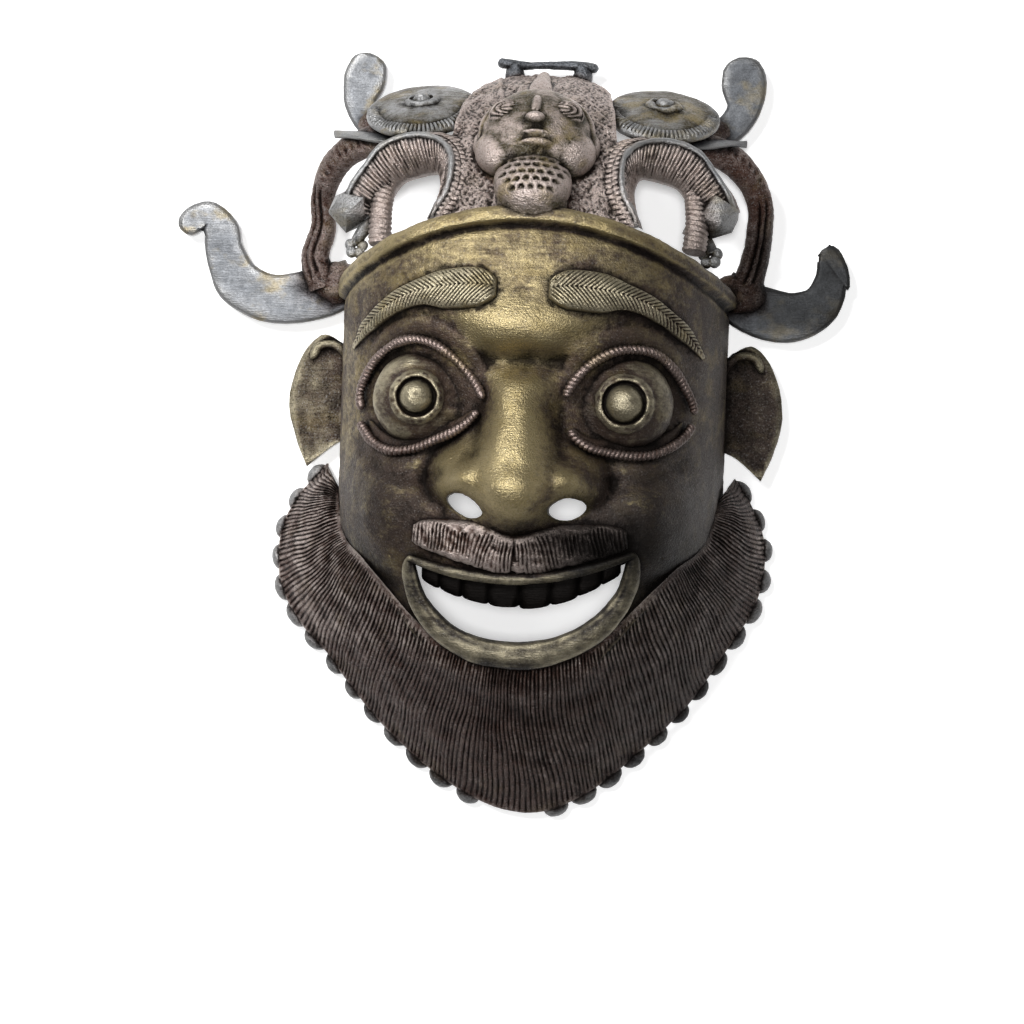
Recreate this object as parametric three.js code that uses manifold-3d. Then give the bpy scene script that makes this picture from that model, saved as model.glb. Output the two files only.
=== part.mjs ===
// A cast-bronze face mask of the Cameroon grasslands, lying on its back with the face up.
// X runs across the face, Y up the face towards the crown, Z out of the face.
// The whole mask is one hollow casting: a bearded face shell with an open mouth and nostrils,
// a headband, a stippled cap that leans back and carries a small bearded head, two domed
// discs, two arched beasts, side struts, flat hooks like trunks, and a bar on top.
import * as THREE from 'three';
import { mergeVertices } from 'three/addons/utils/BufferGeometryUtils.js';
import Module from 'manifold-3d';

const wasm = await Module();
wasm.setup();

// Face shell. Heights above the middle of the face are along Y.
const WALL = 4;
const FACE_HALF_WIDTH = 98;
const FACE_DEPTH = 107;
const RIM_HEIGHT = 8;
const BAND_TOP = 116;
const BAND_DROP = 33;
const BAND_WIDTH = 8;
const BAND_RISE = 3.6;
const CHIN_DROP = 116;

// Features of the face.
const EYE_X = 50;
const EYE_Y = 22;
const EYEBALL_RADIUS = 21;
const IRIS_RADIUS = 10.5;
const IRIS_ROD = 1.8;
const STUD_RADIUS = 7.4;
const LID_RADIUS = 28.5;
const LID_RISE = 4.2;
const BROW_RISE = 4.6;
const NOSTRIL_X = 24.5;
const NOSTRIL_Y = -29;
const NOSTRIL_HALF_WIDTH = 9;
const NOSTRIL_HALF_HEIGHT = 5.6;
const LIP_RADIUS = 6.2;
const UPPER_LIP_RADIUS = 3.4;
const MOUTH_CORNER_X = 57;
const MOUTH_CORNER_Y = -55;
const UPPER_LIP_SAG = 8;
const LOWER_LIP_SAG = 47;
const TOOTH_THICKNESS = 5;
const MOUSTACHE_RISE = 3.2;
const EAR_THICKNESS = 4.5;
const EAR_LIFT = 8;

// Beard ruff.
const RUFF_THICKNESS = 4.2;
const RUFF_CROWNING = 6;
const BEAD_COUNT = 23;
const BEAD_HALF_WIDTH = 4.4;
const BEAD_HALF_HEIGHT = 4;

// Headdress.
const CAP_ROOT_Y = 100;
const CAP_REACH = 88;
const CAP_HEIGHT = 88;
const CAP_HALF_WIDTH = 47;
const CAP_TOP_HALF_WIDTH = 30;
const DISC_RADIUS = 28.5;
const DISC_THICKNESS = 4;
const DISC_CROWN = 4;
const DISC_ROPE = 2.4;
const BOSS_RADIUS = 6;
const DISC_X = 60.5;
const DISC_BELOW_TOP = 18;
const DISC_Z = 47;
const DISC_TILT = 57;
const DISC_DROOP = 12;
const ARCH_SHIFT = 5;
const STRUT_FOOT_X = 104;
const STRUT_FOOT_SHIFT = 7;
const HOOK_THICKNESS = 4.5;
const HOOK_Z = 10;
const BAR_THICKNESS = 5;
const BAR_STANDOFF = 10.5;
const BAR_HALF_LENGTH = 25;

const CAP_TOP_Y = CAP_ROOT_Y + CAP_REACH;
const DISC_Y = CAP_TOP_Y - DISC_BELOW_TOP;
const BAR_Y = CAP_TOP_Y + BAR_STANDOFF;

const clamp = THREE.MathUtils.clamp;
const radians = THREE.MathUtils.degToRad;
const vec = (x, y, z) => new THREE.Vector3(x, y, z);

// A smooth function through a few [input, output] knots, level beyond both ends.
function through(...knots) {
  const last = knots.length - 1;
  const slopes = knots.map((_, i) => {
    const before = knots[Math.max(0, i - 1)];
    const after = knots[Math.min(last, i + 1)];
    return (after[1] - before[1]) / (after[0] - before[0]);
  });
  return (input) => {
    const x = clamp(input, knots[0][0], knots[last][0]);
    let i = 0;
    while (i < last - 1 && x > knots[i + 1][0]) i += 1;
    const span = knots[i + 1][0] - knots[i][0];
    const t = (x - knots[i][0]) / span;
    const [h0, h1] = [(1 + 2 * t) * (1 - t) ** 2, t * t * (3 - 2 * t)];
    const [g0, g1] = [t * (1 - t) ** 2, t * t * (t - 1)];
    return h0 * knots[i][1] + h1 * knots[i + 1][1] + span * (g0 * slopes[i] + g1 * slopes[i + 1]);
  };
}

const hill = (x, y, { at, wide, tall, lift }) =>
  lift * Math.exp(-(((x - at[0]) / wide) ** 2) - ((y - at[1]) / tall) ** 2);
const softMax = (a, b, blend) => Math.max(a, b) + Math.max(0, blend - Math.abs(a - b)) ** 2 / (4 * blend);

// The upper edge of the face shell, under the headband, and its lower edge, under the beard.
const bandLine = (x) => BAND_TOP - BAND_DROP * (x / FACE_HALF_WIDTH) ** 2;
const jawShape = through([0, 1], [0.35, 0.93], [0.5, 0.8], [0.62, 0.68], [0.78, 0.54], [0.93, 0.41], [1, 0.16]);
const jawLine = (x) => -CHIN_DROP * jawShape(Math.abs(x) / FACE_HALF_WIDTH);

// The plain dome of the head, drawn in by `inset` for its inner side.
function dome(x, y, inset = 0) {
  const FULLEST_Y = 60;
  const sag = (y > FULLEST_Y ? 0.0026 : 0.00085) * (y - FULLEST_Y) ** 2;
  const across = Math.min(1, Math.abs(x) / (FACE_HALF_WIDTH - inset));
  return RIM_HEIGHT + (FACE_DEPTH - inset - sag - RIM_HEIGHT) * (1 - across ** 2.5) ** 0.4;
}

// Hills and hollows of the face, each listed for one side and repeated on the other.
const FACE_HILLS = [
  { at: [0, 58], wide: 30, tall: 12, lift: 6 }, // between the brows
  { at: [0, 40], wide: 18, tall: 7, lift: -8 }, // root of the nose
  { at: [EYE_X, EYE_Y], wide: 33, tall: 29, lift: -11 }, // eye socket
  { at: [70, -30], wide: 27, tall: 26, lift: 12 }, // cheek
  { at: [46, -20], wide: 11, tall: 18, lift: -4 }, // crease beside the nose
  { at: [0, -52], wide: 54, tall: 15, lift: 8 }, // upper lip
];
const NOSE_TIP = { at: [0, -17], wide: 17, tall: 14, lift: 33 };
const NOSE_WING = { at: [27, -20], wide: 12, tall: 13, lift: 22 };
const noseRise = through([-40, 0], [-30, 10], [-17, 26], [10, 20], [34, 9], [46, 0]);
const noseHalfWidth = through([-20, 15], [10, 12], [40, 10]);

function nose(x, y) {
  const bridge = noseRise(y) * Math.exp(-((x / noseHalfWidth(y)) ** 2));
  return softMax(softMax(bridge, hill(x, y, NOSE_TIP), 6), hill(Math.abs(x), y, NOSE_WING), 6);
}

function relief(x, y) {
  const fade = Math.max(0, 1 - (Math.abs(x) / FACE_HALF_WIDTH) ** 6);
  const hills = FACE_HILLS.reduce((sum, one) => sum + hill(Math.abs(x), y, one), 0);
  return (hills + nose(x, y)) * fade;
}
const faceHeight = (x, y) => dome(x, y) + relief(x, y);

function faceNormal(x, y) {
  const STEP = 1.5;
  const side = Math.sign(x) || 1;
  const inner = x - side * STEP;
  const slopeX = ((faceHeight(x, y) - faceHeight(inner, y)) / STEP) * side;
  const slopeY = (faceHeight(x, y + STEP) - faceHeight(x, y - STEP)) / (2 * STEP);
  return vec(-slopeX, -slopeY, 1).normalize();
}

// Moves every vertex of a three.js geometry and turns it into a closed solid.
function solid(geometry, place = (p) => p) {
  let shape = geometry.index ? geometry.toNonIndexed() : geometry;
  ['normal', 'uv'].forEach((name) => shape.deleteAttribute(name));
  const point = shape.getAttribute('position');
  for (let i = 0; i < point.count; i += 1) {
    const moved = place(new THREE.Vector3().fromBufferAttribute(point, i));
    point.setXYZ(i, moved.x, moved.y, moved.z);
  }
  shape = mergeVertices(shape, 1e-4);
  const triangles = [];
  for (let i = 0; i < shape.index.count; i += 3) {
    const [a, b, c] = [0, 1, 2].map((k) => shape.index.getX(i + k));
    if (a !== b && b !== c && c !== a) triangles.push(a, b, c);
  }
  const corners = Array.from(shape.getAttribute('position').array);
  const at = (n) => new THREE.Vector3().fromArray(corners, n * 3);
  let volume = 0;
  for (let i = 0; i < triangles.length; i += 3) {
    volume += at(triangles[i]).dot(at(triangles[i + 1]).cross(at(triangles[i + 2])));
  }
  if (volume < 0) triangles.reverse();
  return new wasm.Manifold(new wasm.Mesh({
    numProp: 3,
    vertProperties: new Float32Array(corners),
    triVerts: new Uint32Array(triangles),
  }));
}

const joined = (solids) => solids.reduce((all, one) => all.add(one));

// A rod along `route`, whose section at share t of its length is section(t, angle): [across, up].
function rod(route, section, upAt, { sides = 8, steps = 16 } = {}) {
  const geometry = new THREE.CylinderGeometry(1, 1, 1, sides, steps);
  const frames = new Map();
  const frameAt = (t) => {
    if (!frames.has(t)) {
      const along = route.getTangent(t);
      const up = upAt(t);
      const across = along.clone().cross(up).normalize();
      frames.set(t, { at: route.getPoint(t), across, up: across.clone().cross(along) });
    }
    return frames.get(t);
  };
  return solid(geometry, (p) => {
    const t = clamp(p.y + 0.5, 0, 1);
    const { at, across, up } = frameAt(t);
    const onAxis = Math.hypot(p.x, p.z) < 0.5;
    const [a, u] = onAxis ? [0, 0] : section(t, Math.atan2(p.z, p.x));
    return at.clone().addScaledVector(across, a).addScaledVector(up, u);
  });
}
const oval = (wide, high) => (t, angle) => [wide(t) * Math.cos(angle), high(t) * Math.sin(angle)];
const roundEnds = (t, share) => Math.sqrt(Math.max(0.04, 1 - Math.max(0, 1 - Math.min(t, 1 - t) / share) ** 2));
const spline = (points) => new THREE.CatmullRomCurve3(points.map((p) => vec(...p)), false, 'centripetal');
const mirrored = (points, side) => points.map(([x, ...rest]) => [x * side, ...rest]);

// A rod laid on the face along [x, y] points, standing `lift` above it.
function onFace(points, wide, high, lift, options) {
  const route = spline(points.map(([x, y]) => {
    const lifted = vec(x, y, faceHeight(x, y)).addScaledVector(faceNormal(x, y), lift);
    return [lifted.x, lifted.y, lifted.z];
  }));
  const upAt = (t) => {
    const at = route.getPoint(t);
    return faceNormal(clamp(at.x, 1 - FACE_HALF_WIDTH, FACE_HALF_WIDTH - 1), at.y);
  };
  return rod(route, oval(wide, high), upAt, options);
}

function lump(at, radii, [around, rings] = [10, 6], turn = new THREE.Euler()) {
  const middle = vec(...at);
  return solid(new THREE.SphereGeometry(1, around, rings), (p) =>
    p.multiply(vec(...radii)).applyEuler(turn).add(middle));
}

// The face shell is a block bent to shape; its top two rows of points are the raised headband.
const across = through([0, 0], [0.3, 21], [0.55, 47], [0.8, 80], [0.92, 94], [1, FACE_HALF_WIDTH]);
const upward = through([0, 0], [0.25, 0.3], [0.72, 0.7], [1, 1]);

function faceBlock() {
  const ROWS = 23;
  return solid(new THREE.BoxGeometry(2, 1, 1, 26, ROWS, 1), (p) => {
    const x = Math.sign(p.x) * across(Math.abs(p.x));
    const row = Math.round((p.y + 0.5) * ROWS);
    const [low, high] = [jawLine(x), bandLine(x)];
    const banded = row > ROWS - 2;
    const share = upward(Math.min(1, row / (ROWS - 2)));
    let y = THREE.MathUtils.lerp(low, high - BAND_WIDTH, share);
    if (banded) y = row === ROWS ? high : high - BAND_WIDTH + 1.5;
    const rise = banded ? BAND_RISE : 0;
    if (p.z < 0) return vec(x, y, 0);
    const out = x / FACE_HALF_WIDTH;
    return vec(x + rise * out ** 5, y, faceHeight(x, y) + rise * (1 - out ** 8));
  });
}

// The hollow behind the face keeps to the deepest relief near each point, and rises into the eyes.
function hollow() {
  const PAST = 30;
  const REACH = 7;
  const around = [-REACH, 0, REACH];
  const width = FACE_HALF_WIDTH - WALL;
  return solid(new THREE.BoxGeometry(2, 1, 1, 12, 10, 1), (p) => {
    const x = Math.sign(p.x) * across(Math.abs(p.x)) * (width / FACE_HALF_WIDTH);
    const y = THREE.MathUtils.lerp(jawLine(x) - PAST, bandLine(x) + PAST, p.y + 0.5);
    const near = around.flatMap((dx) => around.map((dy) => relief(x + dx, y + dy)));
    const eyes = hill(Math.abs(x), y, { at: [EYE_X, EYE_Y], wide: 15, tall: 15, lift: 11 });
    return vec(x, y, p.z > 0 ? dome(x, y, WALL) + Math.min(...near, 30) + eyes : -PAST);
  });
}

// The lips follow two arcs between the corners of the mouth.
const upperLipLine = (x) => MOUTH_CORNER_Y - UPPER_LIP_SAG * (1 - (x / MOUTH_CORNER_X) ** 2);
function lowerLipPoint(share) {
  const angle = Math.PI * share;
  const x = -MOUTH_CORNER_X * Math.cos(angle);
  return [x, MOUTH_CORNER_Y + 2 - LOWER_LIP_SAG * Math.sin(angle) ** 0.9];
}
const shares = (count) => Array.from({ length: count + 1 }, (_, i) => i / count);

// Cutters for the mouth and the nostrils, all straight along Z.
function openings() {
  const FAR = 200;
  const NEAR = 40;
  const mouth = new THREE.Shape();
  shares(12).forEach((t, i) => {
    const [x, y] = lowerLipPoint(t);
    if (i === 0) mouth.moveTo(x * 0.96, y);
    else mouth.lineTo(x * 0.96, y);
  });
  shares(6).slice(1, -1).forEach((t) => {
    const x = MOUTH_CORNER_X * 0.96 * (1 - 2 * t);
    mouth.lineTo(x, upperLipLine(x));
  });
  const straight = { depth: FAR, bevelEnabled: false };
  const cutters = [solid(new THREE.ExtrudeGeometry(mouth, straight), (p) => p.add(vec(0, 0, NEAR)))];
  [-1, 1].forEach((side) => {
    cutters.push(solid(new THREE.CylinderGeometry(1, 1, FAR, 10), (p) => vec(
      side * NOSTRIL_X + p.x * NOSTRIL_HALF_WIDTH,
      NOSTRIL_Y + p.z * NOSTRIL_HALF_HEIGHT,
      p.y + NEAR + FAR / 2,
    )));
  });
  return joined(cutters);
}

function mouthParts() {
  const lower = shares(10).map(lowerLipPoint);
  const upper = shares(8).map((t) => {
    const x = MOUTH_CORNER_X * (2 * t - 1);
    return [x, upperLipLine(x)];
  });
  const lipWidth = (t) => LIP_RADIUS * (0.7 + 0.3 * Math.sin(Math.PI * t));
  const upperWidth = (t) => UPPER_LIP_RADIUS * (0.6 + 0.4 * Math.sin(Math.PI * t));
  const parts = [
    onFace(lower, lipWidth, lipWidth, 0.5, { sides: 5, steps: 10 }),
    onFace(upper, upperWidth, upperWidth, 0.8, { sides: 4, steps: 6 }),
  ];
  // Eight teeth hang behind the upper lip, the middle two the widest.
  const TOOTH_EDGES = [0, 16, 29, 39, 47];
  const toothDrop = (x) => 13.5 * (1 - (x / 62) ** 2);
  [-1, 1].forEach((side) => {
    TOOTH_EDGES.slice(1).forEach((edge, i) => {
      const near = TOOTH_EDGES[i] + 0.25;
      parts.push(solid(new THREE.BoxGeometry(1, 1, 1), (p) => {
        const x = side * THREE.MathUtils.lerp(near, edge - 0.25, p.x + 0.5);
        const top = upperLipLine(x);
        const y = p.y > 0 ? top + 3 : top - toothDrop(x);
        return vec(x, y, faceHeight(x, top) - 1.5 - TOOTH_THICKNESS * (0.5 - p.z));
      }));
    });
  });
  return parts;
}

// The eyeball, its ring and stud and the lids round it are one turned shape. Each ring is
// [radius, height]; rings of the lids follow the face and swell towards the top.
function eye(side) {
  const base = faceHeight(EYE_X, EYE_Y) - 3;
  const rise = (r) => EYEBALL_RADIUS * 0.86 * Math.sqrt(1 - (r / EYEBALL_RADIUS) ** 2);
  const crown = rise(IRIS_RADIUS);
  const RINGS = [[0, crown + 7.4], [STUD_RADIUS * 0.85, crown + 4.5], [STUD_RADIUS + 0.6, crown],
    [IRIS_RADIUS, crown + 1.8], [IRIS_RADIUS + 1.8, crown - 0.6], [EYEBALL_RADIUS * 0.88, rise(EYEBALL_RADIUS * 0.88)],
    [EYEBALL_RADIUS + 1, 1], [LID_RADIUS - 3.5, 1], [LID_RADIUS, LID_RISE], [LID_RADIUS + 4.5, -2], [0, -8]];
  const LID_START = 7;
  const points = RINGS.map(([r], i) => new THREE.Vector2(r, -i));
  return solid(new THREE.LatheGeometry(points, 16), (p) => {
    const ring = Math.round(-p.y);
    const angle = Math.atan2(-p.z, p.x);
    const high = Math.max(0, Math.sin(angle));
    const lid = ring >= LID_START && ring < RINGS.length - 1;
    const stretch = lid ? 1 + 0.06 * Math.cos(angle) ** 2 : 1;
    const [x, y] = [EYE_X + p.x * stretch, EYE_Y - p.z * stretch];
    const swell = ring === LID_START + 1 ? 1 + 0.5 * high : 1;
    const z = lid ? faceHeight(x, y) + RINGS[ring][1] * swell : base + RINGS[ring][1];
    return vec(side * x, y, z);
  });
}

function brow(side) {
  const line = [[14, 76], [27, 79], [40, 78.5], [56, 73.5], [71, 64.5], [82, 54], [88, 46]];
  const width = through([0, 6], [0.1, 9.8], [0.35, 10.5], [0.6, 8.8], [0.85, 5], [1, 1.4]);
  const height = through([0, 0.5], [0.08, 1], [0.7, 0.9], [1, 0.35]);
  return onFace(mirrored(line, side), width, (t) => BROW_RISE * height(t), 0.6, { sides: 5, steps: 7 });
}

function moustache(side) {
  const line = [[7, -53], [20, -50], [33, -47], [45, -43.5], [53, -41]];
  const width = through([0, 7.5], [0.45, 9], [0.85, 6.5], [1, 3]);
  return onFace(mirrored(line, side), width, (t) => MOUSTACHE_RISE * roundEnds(t, 0.12), 0.8, { sides: 5, steps: 4 });
}

// A flat leaf with a raised outer curl, standing out from the side of the head.
function ear(side) {
  const outline = [[94, 46], [101, 54], [110, 57.5], [119, 50], [125, 36], [127, 20], [123, 3], [117, -11],
    [108, -4], [100, 3], [94, 6]];
  const shape = new THREE.Shape();
  shape.moveTo(...outline[0]);
  shape.splineThru(outline.slice(1, 8).map(([x, y]) => new THREE.Vector2(x, y)));
  outline.slice(8).forEach(([x, y]) => shape.lineTo(x, y));
  const plate = new THREE.ExtrudeGeometry(shape, { depth: EAR_THICKNESS, bevelEnabled: false, curveSegments: 2 });
  const leaf = solid(plate, (p) => vec(side * p.x, p.y, p.z + EAR_LIFT));
  const curl = spline(mirrored([[96, 42, 14], [103, 51, 14], [111, 53, 13.5], [117, 44, 13]], side));
  return leaf.add(rod(curl, oval(() => 2.4, () => 2.2), () => vec(0, 0, 1), { sides: 5, steps: 4 }));
}

// The beard: a flared sheet from the jaw down to a beaded rim that rests on the ground.
const RUFF_RIM = [[-107, -9], [-124, -30], [-131, -50], [-129, -73], [-119, -92], [-104, -108], [-82, -135],
  [-56, -160], [-27, -179], [5, -187], [33, -176], [60, -153], [84, -128], [103, -99], [116, -77], [121, -58],
  [120, -40], [114, -25], [104, -10]];
const rimCurve = spline(RUFF_RIM.map(([x, y]) => [x, y, BEAD_HALF_HEIGHT]));

function ruffPoint(along, out) {
  const rim = rimCurve.getPointAt(along);
  const x = through([0, -96], [0.12, -91], [0.27, -66], [0.5, 0], [0.73, 66], [0.88, 91], [1, 96])(along);
  const y = jawLine(x) + 4;
  const root = vec(x, y, faceHeight(x, y) - 2.5);
  const at = root.lerp(rim, out);
  at.z += RUFF_CROWNING * Math.sin(Math.PI * out);
  return at;
}

function beard() {
  // Rows run from root to rim; the last two swell into a bead and draw in again all along.
  const ROWS = [[0, 0], [0.5, 0], [0.94, 1], [1, 0.55]];
  return solid(new THREE.BoxGeometry(1, 1, 1, 2 * BEAD_COUNT, ROWS.length - 1, 1), (p) => {
    const along = p.x + 0.5;
    const [out, beading] = ROWS[Math.round((p.y + 0.5) * (ROWS.length - 1))];
    const swell = Math.abs(Math.sin(BEAD_COUNT * Math.PI * along));
    const at = ruffPoint(along, out * (1 - 0.03 * (1 - swell) * (out > 0.98 ? 1 : 0)));
    const half = RUFF_THICKNESS / 2 + beading * (BEAD_HALF_HEIGHT * (0.5 + 0.5 * swell) - RUFF_THICKNESS / 2);
    at.z += p.z > 0 ? half : -Math.min(half, RUFF_THICKNESS / 2);
    return at;
  });
}

// A point of the cap: s runs across, `lean` is the angle by which it has leant back.
function capPoint(s, lean, lift = 0) {
  const half = THREE.MathUtils.lerp(CAP_HALF_WIDTH, CAP_TOP_HALF_WIDTH, lean / (Math.PI / 2));
  const x = s * half;
  const round = (1 - (Math.abs(x) / FACE_HALF_WIDTH) ** 2.5) ** 0.4;
  const rounded = 1 - 0.12 * s * s * (lean / (Math.PI / 2)) ** 2;
  return vec(x, CAP_ROOT_Y + (CAP_REACH + lift) * Math.sin(lean) * rounded,
    10 + (CAP_HEIGHT + lift) * Math.cos(lean) * round);
}

function cap() {
  const START = radians(8);
  const END = radians(88);
  return solid(new THREE.BoxGeometry(2, 1, 1, 8, 6, 1), (p) =>
    capPoint(p.x, THREE.MathUtils.lerp(START, END, p.y + 0.5), p.z > 0 ? 0 : -WALL));
}

// A point given in the slanted frame of the cap: across, up the slope, out of it.
function onCap(lean, across, up, out) {
  const at = capPoint(0, lean);
  const [c, s] = [Math.cos(lean), Math.sin(lean)];
  return [at.x + across, at.y + up * c + out * s, at.z - up * s + out * c];
}

function smallHead() {
  const LEAN = radians(30);
  const lay = new THREE.Euler(-LEAN, 0, 0);
  const mound = (across, up, out, radii, detail) => lump(onCap(LEAN, across, up, out), radii, detail, lay);
  const parts = [
    mound(2, 8, 0, [27, 27, 21], [10, 5]),
    mound(2, 27, 7, [25, 6, 8], [6, 3]),
    mound(2, 7.5, 19, [4, 8, 6], [5, 3]),
    mound(2, -2.5, 15, [9, 5.5, 6], [6, 3]),
    mound(2, -23, 5, [19, 16, 13], [8, 4]),
  ];
  [-1, 1].forEach((side) => {
    parts.push(mound(2 + side * 17, 0, 8, [12, 12, 11], [7, 4]));
    parts.push(mound(2 + side * 12.5, 12, 15, [8, 5, 5.5], [6, 3]));
    parts.push(mound(2 + side * 27, 3, 1, [4, 7, 5], [5, 3]));
  });
  // The head is hollow behind, level with the inside of the cap.
  const DEEP = 60;
  const inside = solid(new THREE.BoxGeometry(2, 1, 1, 3, 3, 1), (p) =>
    capPoint(p.x, LEAN + p.y * 1.2, p.z > 0 ? -0.8 * WALL : -DEEP));
  return joined(parts).subtract(inside);
}

function disc(side) {
  const [r, t, crown] = [DISC_RADIUS, DISC_THICKNESS, DISC_CROWN];
  const profile = [[0, -t], [r - 2, -t], [r, -t / 2], [r - 0.5, 1.5], [r - DISC_ROPE, 2.2], [r - 2 * DISC_ROPE, 0.6],
    [r * 0.55, crown * 0.8], [BOSS_RADIUS, crown], [BOSS_RADIUS * 0.8, crown + 3], [0, crown + 4]];
  const turned = new THREE.LatheGeometry(profile.map(([x, y]) => new THREE.Vector2(x, y)), 14);
  return solid(turned, (p) => vec(p.x, -p.z, p.y)
    .applyAxisAngle(vec(0, 0, 1), radians(-side * DISC_DROOP))
    .applyAxisAngle(vec(1, 0, 0), radians(-DISC_TILT))
    .applyAxisAngle(vec(0, 1, 0), radians(side * 8))
    .add(vec(side * DISC_X + 1.5, DISC_Y, DISC_Z)));
}

// A beast bent into an arch over the headband, with its head hanging outside it.
function beast(side) {
  const body = [[42, 108, 88], [36, 119, 83], [34, 131, 76], [40, 142, 67], [53, 147, 60], [65, 144, 57],
    [74, 133, 59], [76, 117, 65], [75, 99, 70]];
  const girth = through([0, 4], [0.12, 8.5], [0.3, 10.5], [0.5, 10.5], [0.65, 9.5], [0.85, 6.5], [1, 6.5]);
  const ridged = (t, angle) => {
    const high = Math.sin(angle) > 0.9 ? 1.3 : 0.85;
    return [girth(t) * Math.cos(angle), girth(t) * high * Math.sin(angle)];
  };
  const out = () => vec(side * 0.25, 0.45, 0.85).normalize();
  const neck = [[70, 143, 59], [79, 136, 60], [88, 126, 60], [92, 118, 60]];
  const paw = [[76, 112, 66], [84, 107, 63], [91, 99, 61.5]];
  const lay = (points) => spline(mirrored(points.map(([x, ...rest]) => [x + (side > 0 ? ARCH_SHIFT : 0), ...rest]), side));
  return joined([
    rod(lay(body), ridged, out, { sides: 8, steps: 10 }),
    rod(lay(neck), oval(() => 7, () => 6), out, { sides: 5, steps: 2 }),
    solid(new THREE.IcosahedronGeometry(1), (p) => p.multiply(vec(12.5, 12.5, 11)).add(vec(side * 91, 118, 62))),
    rod(spline(mirrored(paw, side)), oval((t) => 3.2 + t, () => 3), () => vec(0, 0, 1), { sides: 4, steps: 2 }),
  ]);
}

// A leg from the end of the headband that bends over the beast to the underside of the disc.
function strut(side) {
  const foot = STRUT_FOOT_X + (side < 0 ? STRUT_FOOT_SHIFT : 0);
  const leg = [[foot, 82, 10], [foot + 5, 96, 12], [112, 112, 15], [112, 128, 20], [106, 141, 28], [95, 150, 37],
    [DISC_X + 21.5, DISC_Y - 16, DISC_Z - 3], [DISC_X + 11.5, DISC_Y - 15, DISC_Z]];
  const girth = through([0, 9], [0.15, 7.5], [0.4, 6.5], [0.6, 7.5], [1, 8]);
  const heel = lump([side * 103, 84, 12], [12, 12, 12], [6, 3]);
  const up = () => vec(side * 0.3, 0.2, 1).normalize();
  const bar = rod(spline(mirrored(leg, side)), oval(girth, (t) => 0.8 * girth(t)), up, { sides: 5, steps: 7 });
  // The pointed blade is measured from the middle of the disc, which it hangs below.
  const blade = rod(spline([[5.5, -18, 9], [19.5, -16, 5], [31.5, -14, -1], [43.5, -13, -8]].map(([x, y, z]) =>
    [side * (DISC_X + x), DISC_Y + y, DISC_Z + z])),
    oval(through([0, 8], [0.6, 7], [1, 0.8]), () => 2), () => vec(0, 1, 0.35).normalize(), { sides: 4, steps: 2 });
  return joined([bar, heel, blade]);
}

// A flat strip that follows a centre line of [x, y, half width] and ends in a round tip.
function flatHook(spine, lift) {
  const line = spline(spine.map(([x, y]) => [x, y, 0]));
  const last = spine.length - 1;
  const half = through(...spine.map((stop, i) => [i / last, stop[2]]));
  const TIP = 0.1;
  return solid(new THREE.BoxGeometry(2, 1, HOOK_THICKNESS, 1, 10, 1), (p) => {
    const t = p.y + 0.5 > 0.99 ? 1 : 0.93 * (p.y + 0.5) / 0.92;
    const reach = half(t) * Math.sqrt(Math.max(0.05, 1 - Math.max(0, (t - 1 + TIP) / TIP) ** 2));
    const at = line.getPoint(t);
    const run = line.getTangent(t);
    return vec(at.x - p.x * reach * run.y, at.y + p.x * reach * run.x, lift + p.z);
  });
}

function hooks() {
  const lowerLeft = [[-96, 86, 11], [-112, 79, 13], [-138, 75, 12.5], [-156, 83, 12], [-164, 99, 10], [-166, 110, 9],
    [-173, 117, 7.5], [-181, 114, 7], [-184, 107, 6]];
  const lowerRight = [[94, 86, 11], [112, 76, 13], [130, 73, 12.5], [144, 80, 10.5], [149, 93, 8], [148, 104, 6.5],
    [144, 108, 4]];
  const beak = [[145, 108, 4], [151, 102, 4.6], [155, 95, 3.6], [158, 88, 1.2]];
  // The upper hooks are measured from the middles of the discs that carry them.
  const upperLeft = [[-19, -10, 6], [-29, -3, 7.5], [-35, 8, 8.5], [-33, 20, 11], [-30, 33, 8]];
  const upperRight = [[21, -10, 6], [33, -3, 7.5], [41, 8, 8.5], [41, 22, 11.5], [38, 35, 8]];
  const fromDisc = (side, points) => points.map(([x, y, half]) => [side * DISC_X + x, DISC_Y + y, half]);
  const stems = [-1, 1].map((side) => rod(
    spline([[13.5, -14, 40], [21.5, -8, 26], [30.5, -2, 13]].map(([x, y, z]) =>
      [side * (DISC_X + x), DISC_Y + y, z])),
    oval(() => 6, () => 4), () => vec(0, 0.4, 1).normalize(), { sides: 4, steps: 2 }));
  return joined([
    flatHook(lowerLeft, HOOK_Z),
    flatHook(lowerRight, HOOK_Z),
    flatHook(beak, HOOK_Z + 0.4),
    flatHook(fromDisc(-1, upperLeft), HOOK_Z),
    flatHook(fromDisc(1, upperRight), HOOK_Z),
    ...stems,
  ]);
}

function topBar() {
  const half = BAR_THICKNESS / 2;
  const bar = rod(spline([[-BAR_HALF_LENGTH, BAR_Y + 1, 12], [0, BAR_Y, 12], [BAR_HALF_LENGTH + 2, BAR_Y - 1, 12]]),
    oval((t) => 0.8 * half + 0.6 * Math.abs(t - 0.5), () => half + 1), () => vec(0, 0, 1), { sides: 4, steps: 3 });
  const posts = [-15, 18].map((x) => rod(spline([[x, BAR_Y, 12], [x * 0.98, BAR_Y - 8, 12], [x * 0.9, BAR_Y - 17, 15]]),
    oval((t) => 3 + 1.5 * t, () => 3.5), () => vec(0, 0, 1), { sides: 4, steps: 2 }));
  return joined([bar, ...posts]);
}

function castMask() {
  const sides = [-1, 1];
  const features = sides.flatMap((side) => [eye(side), brow(side), moustache(side)]);
  const face = joined([faceBlock(), ...features]).subtract(hollow()).subtract(openings());
  return joined([
    face, ...mouthParts(), beard(), cap(), smallHead(), hooks(), topBar(),
    ...sides.flatMap((side) => [ear(side), disc(side), beast(side), strut(side)]),
  ]);
}

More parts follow.
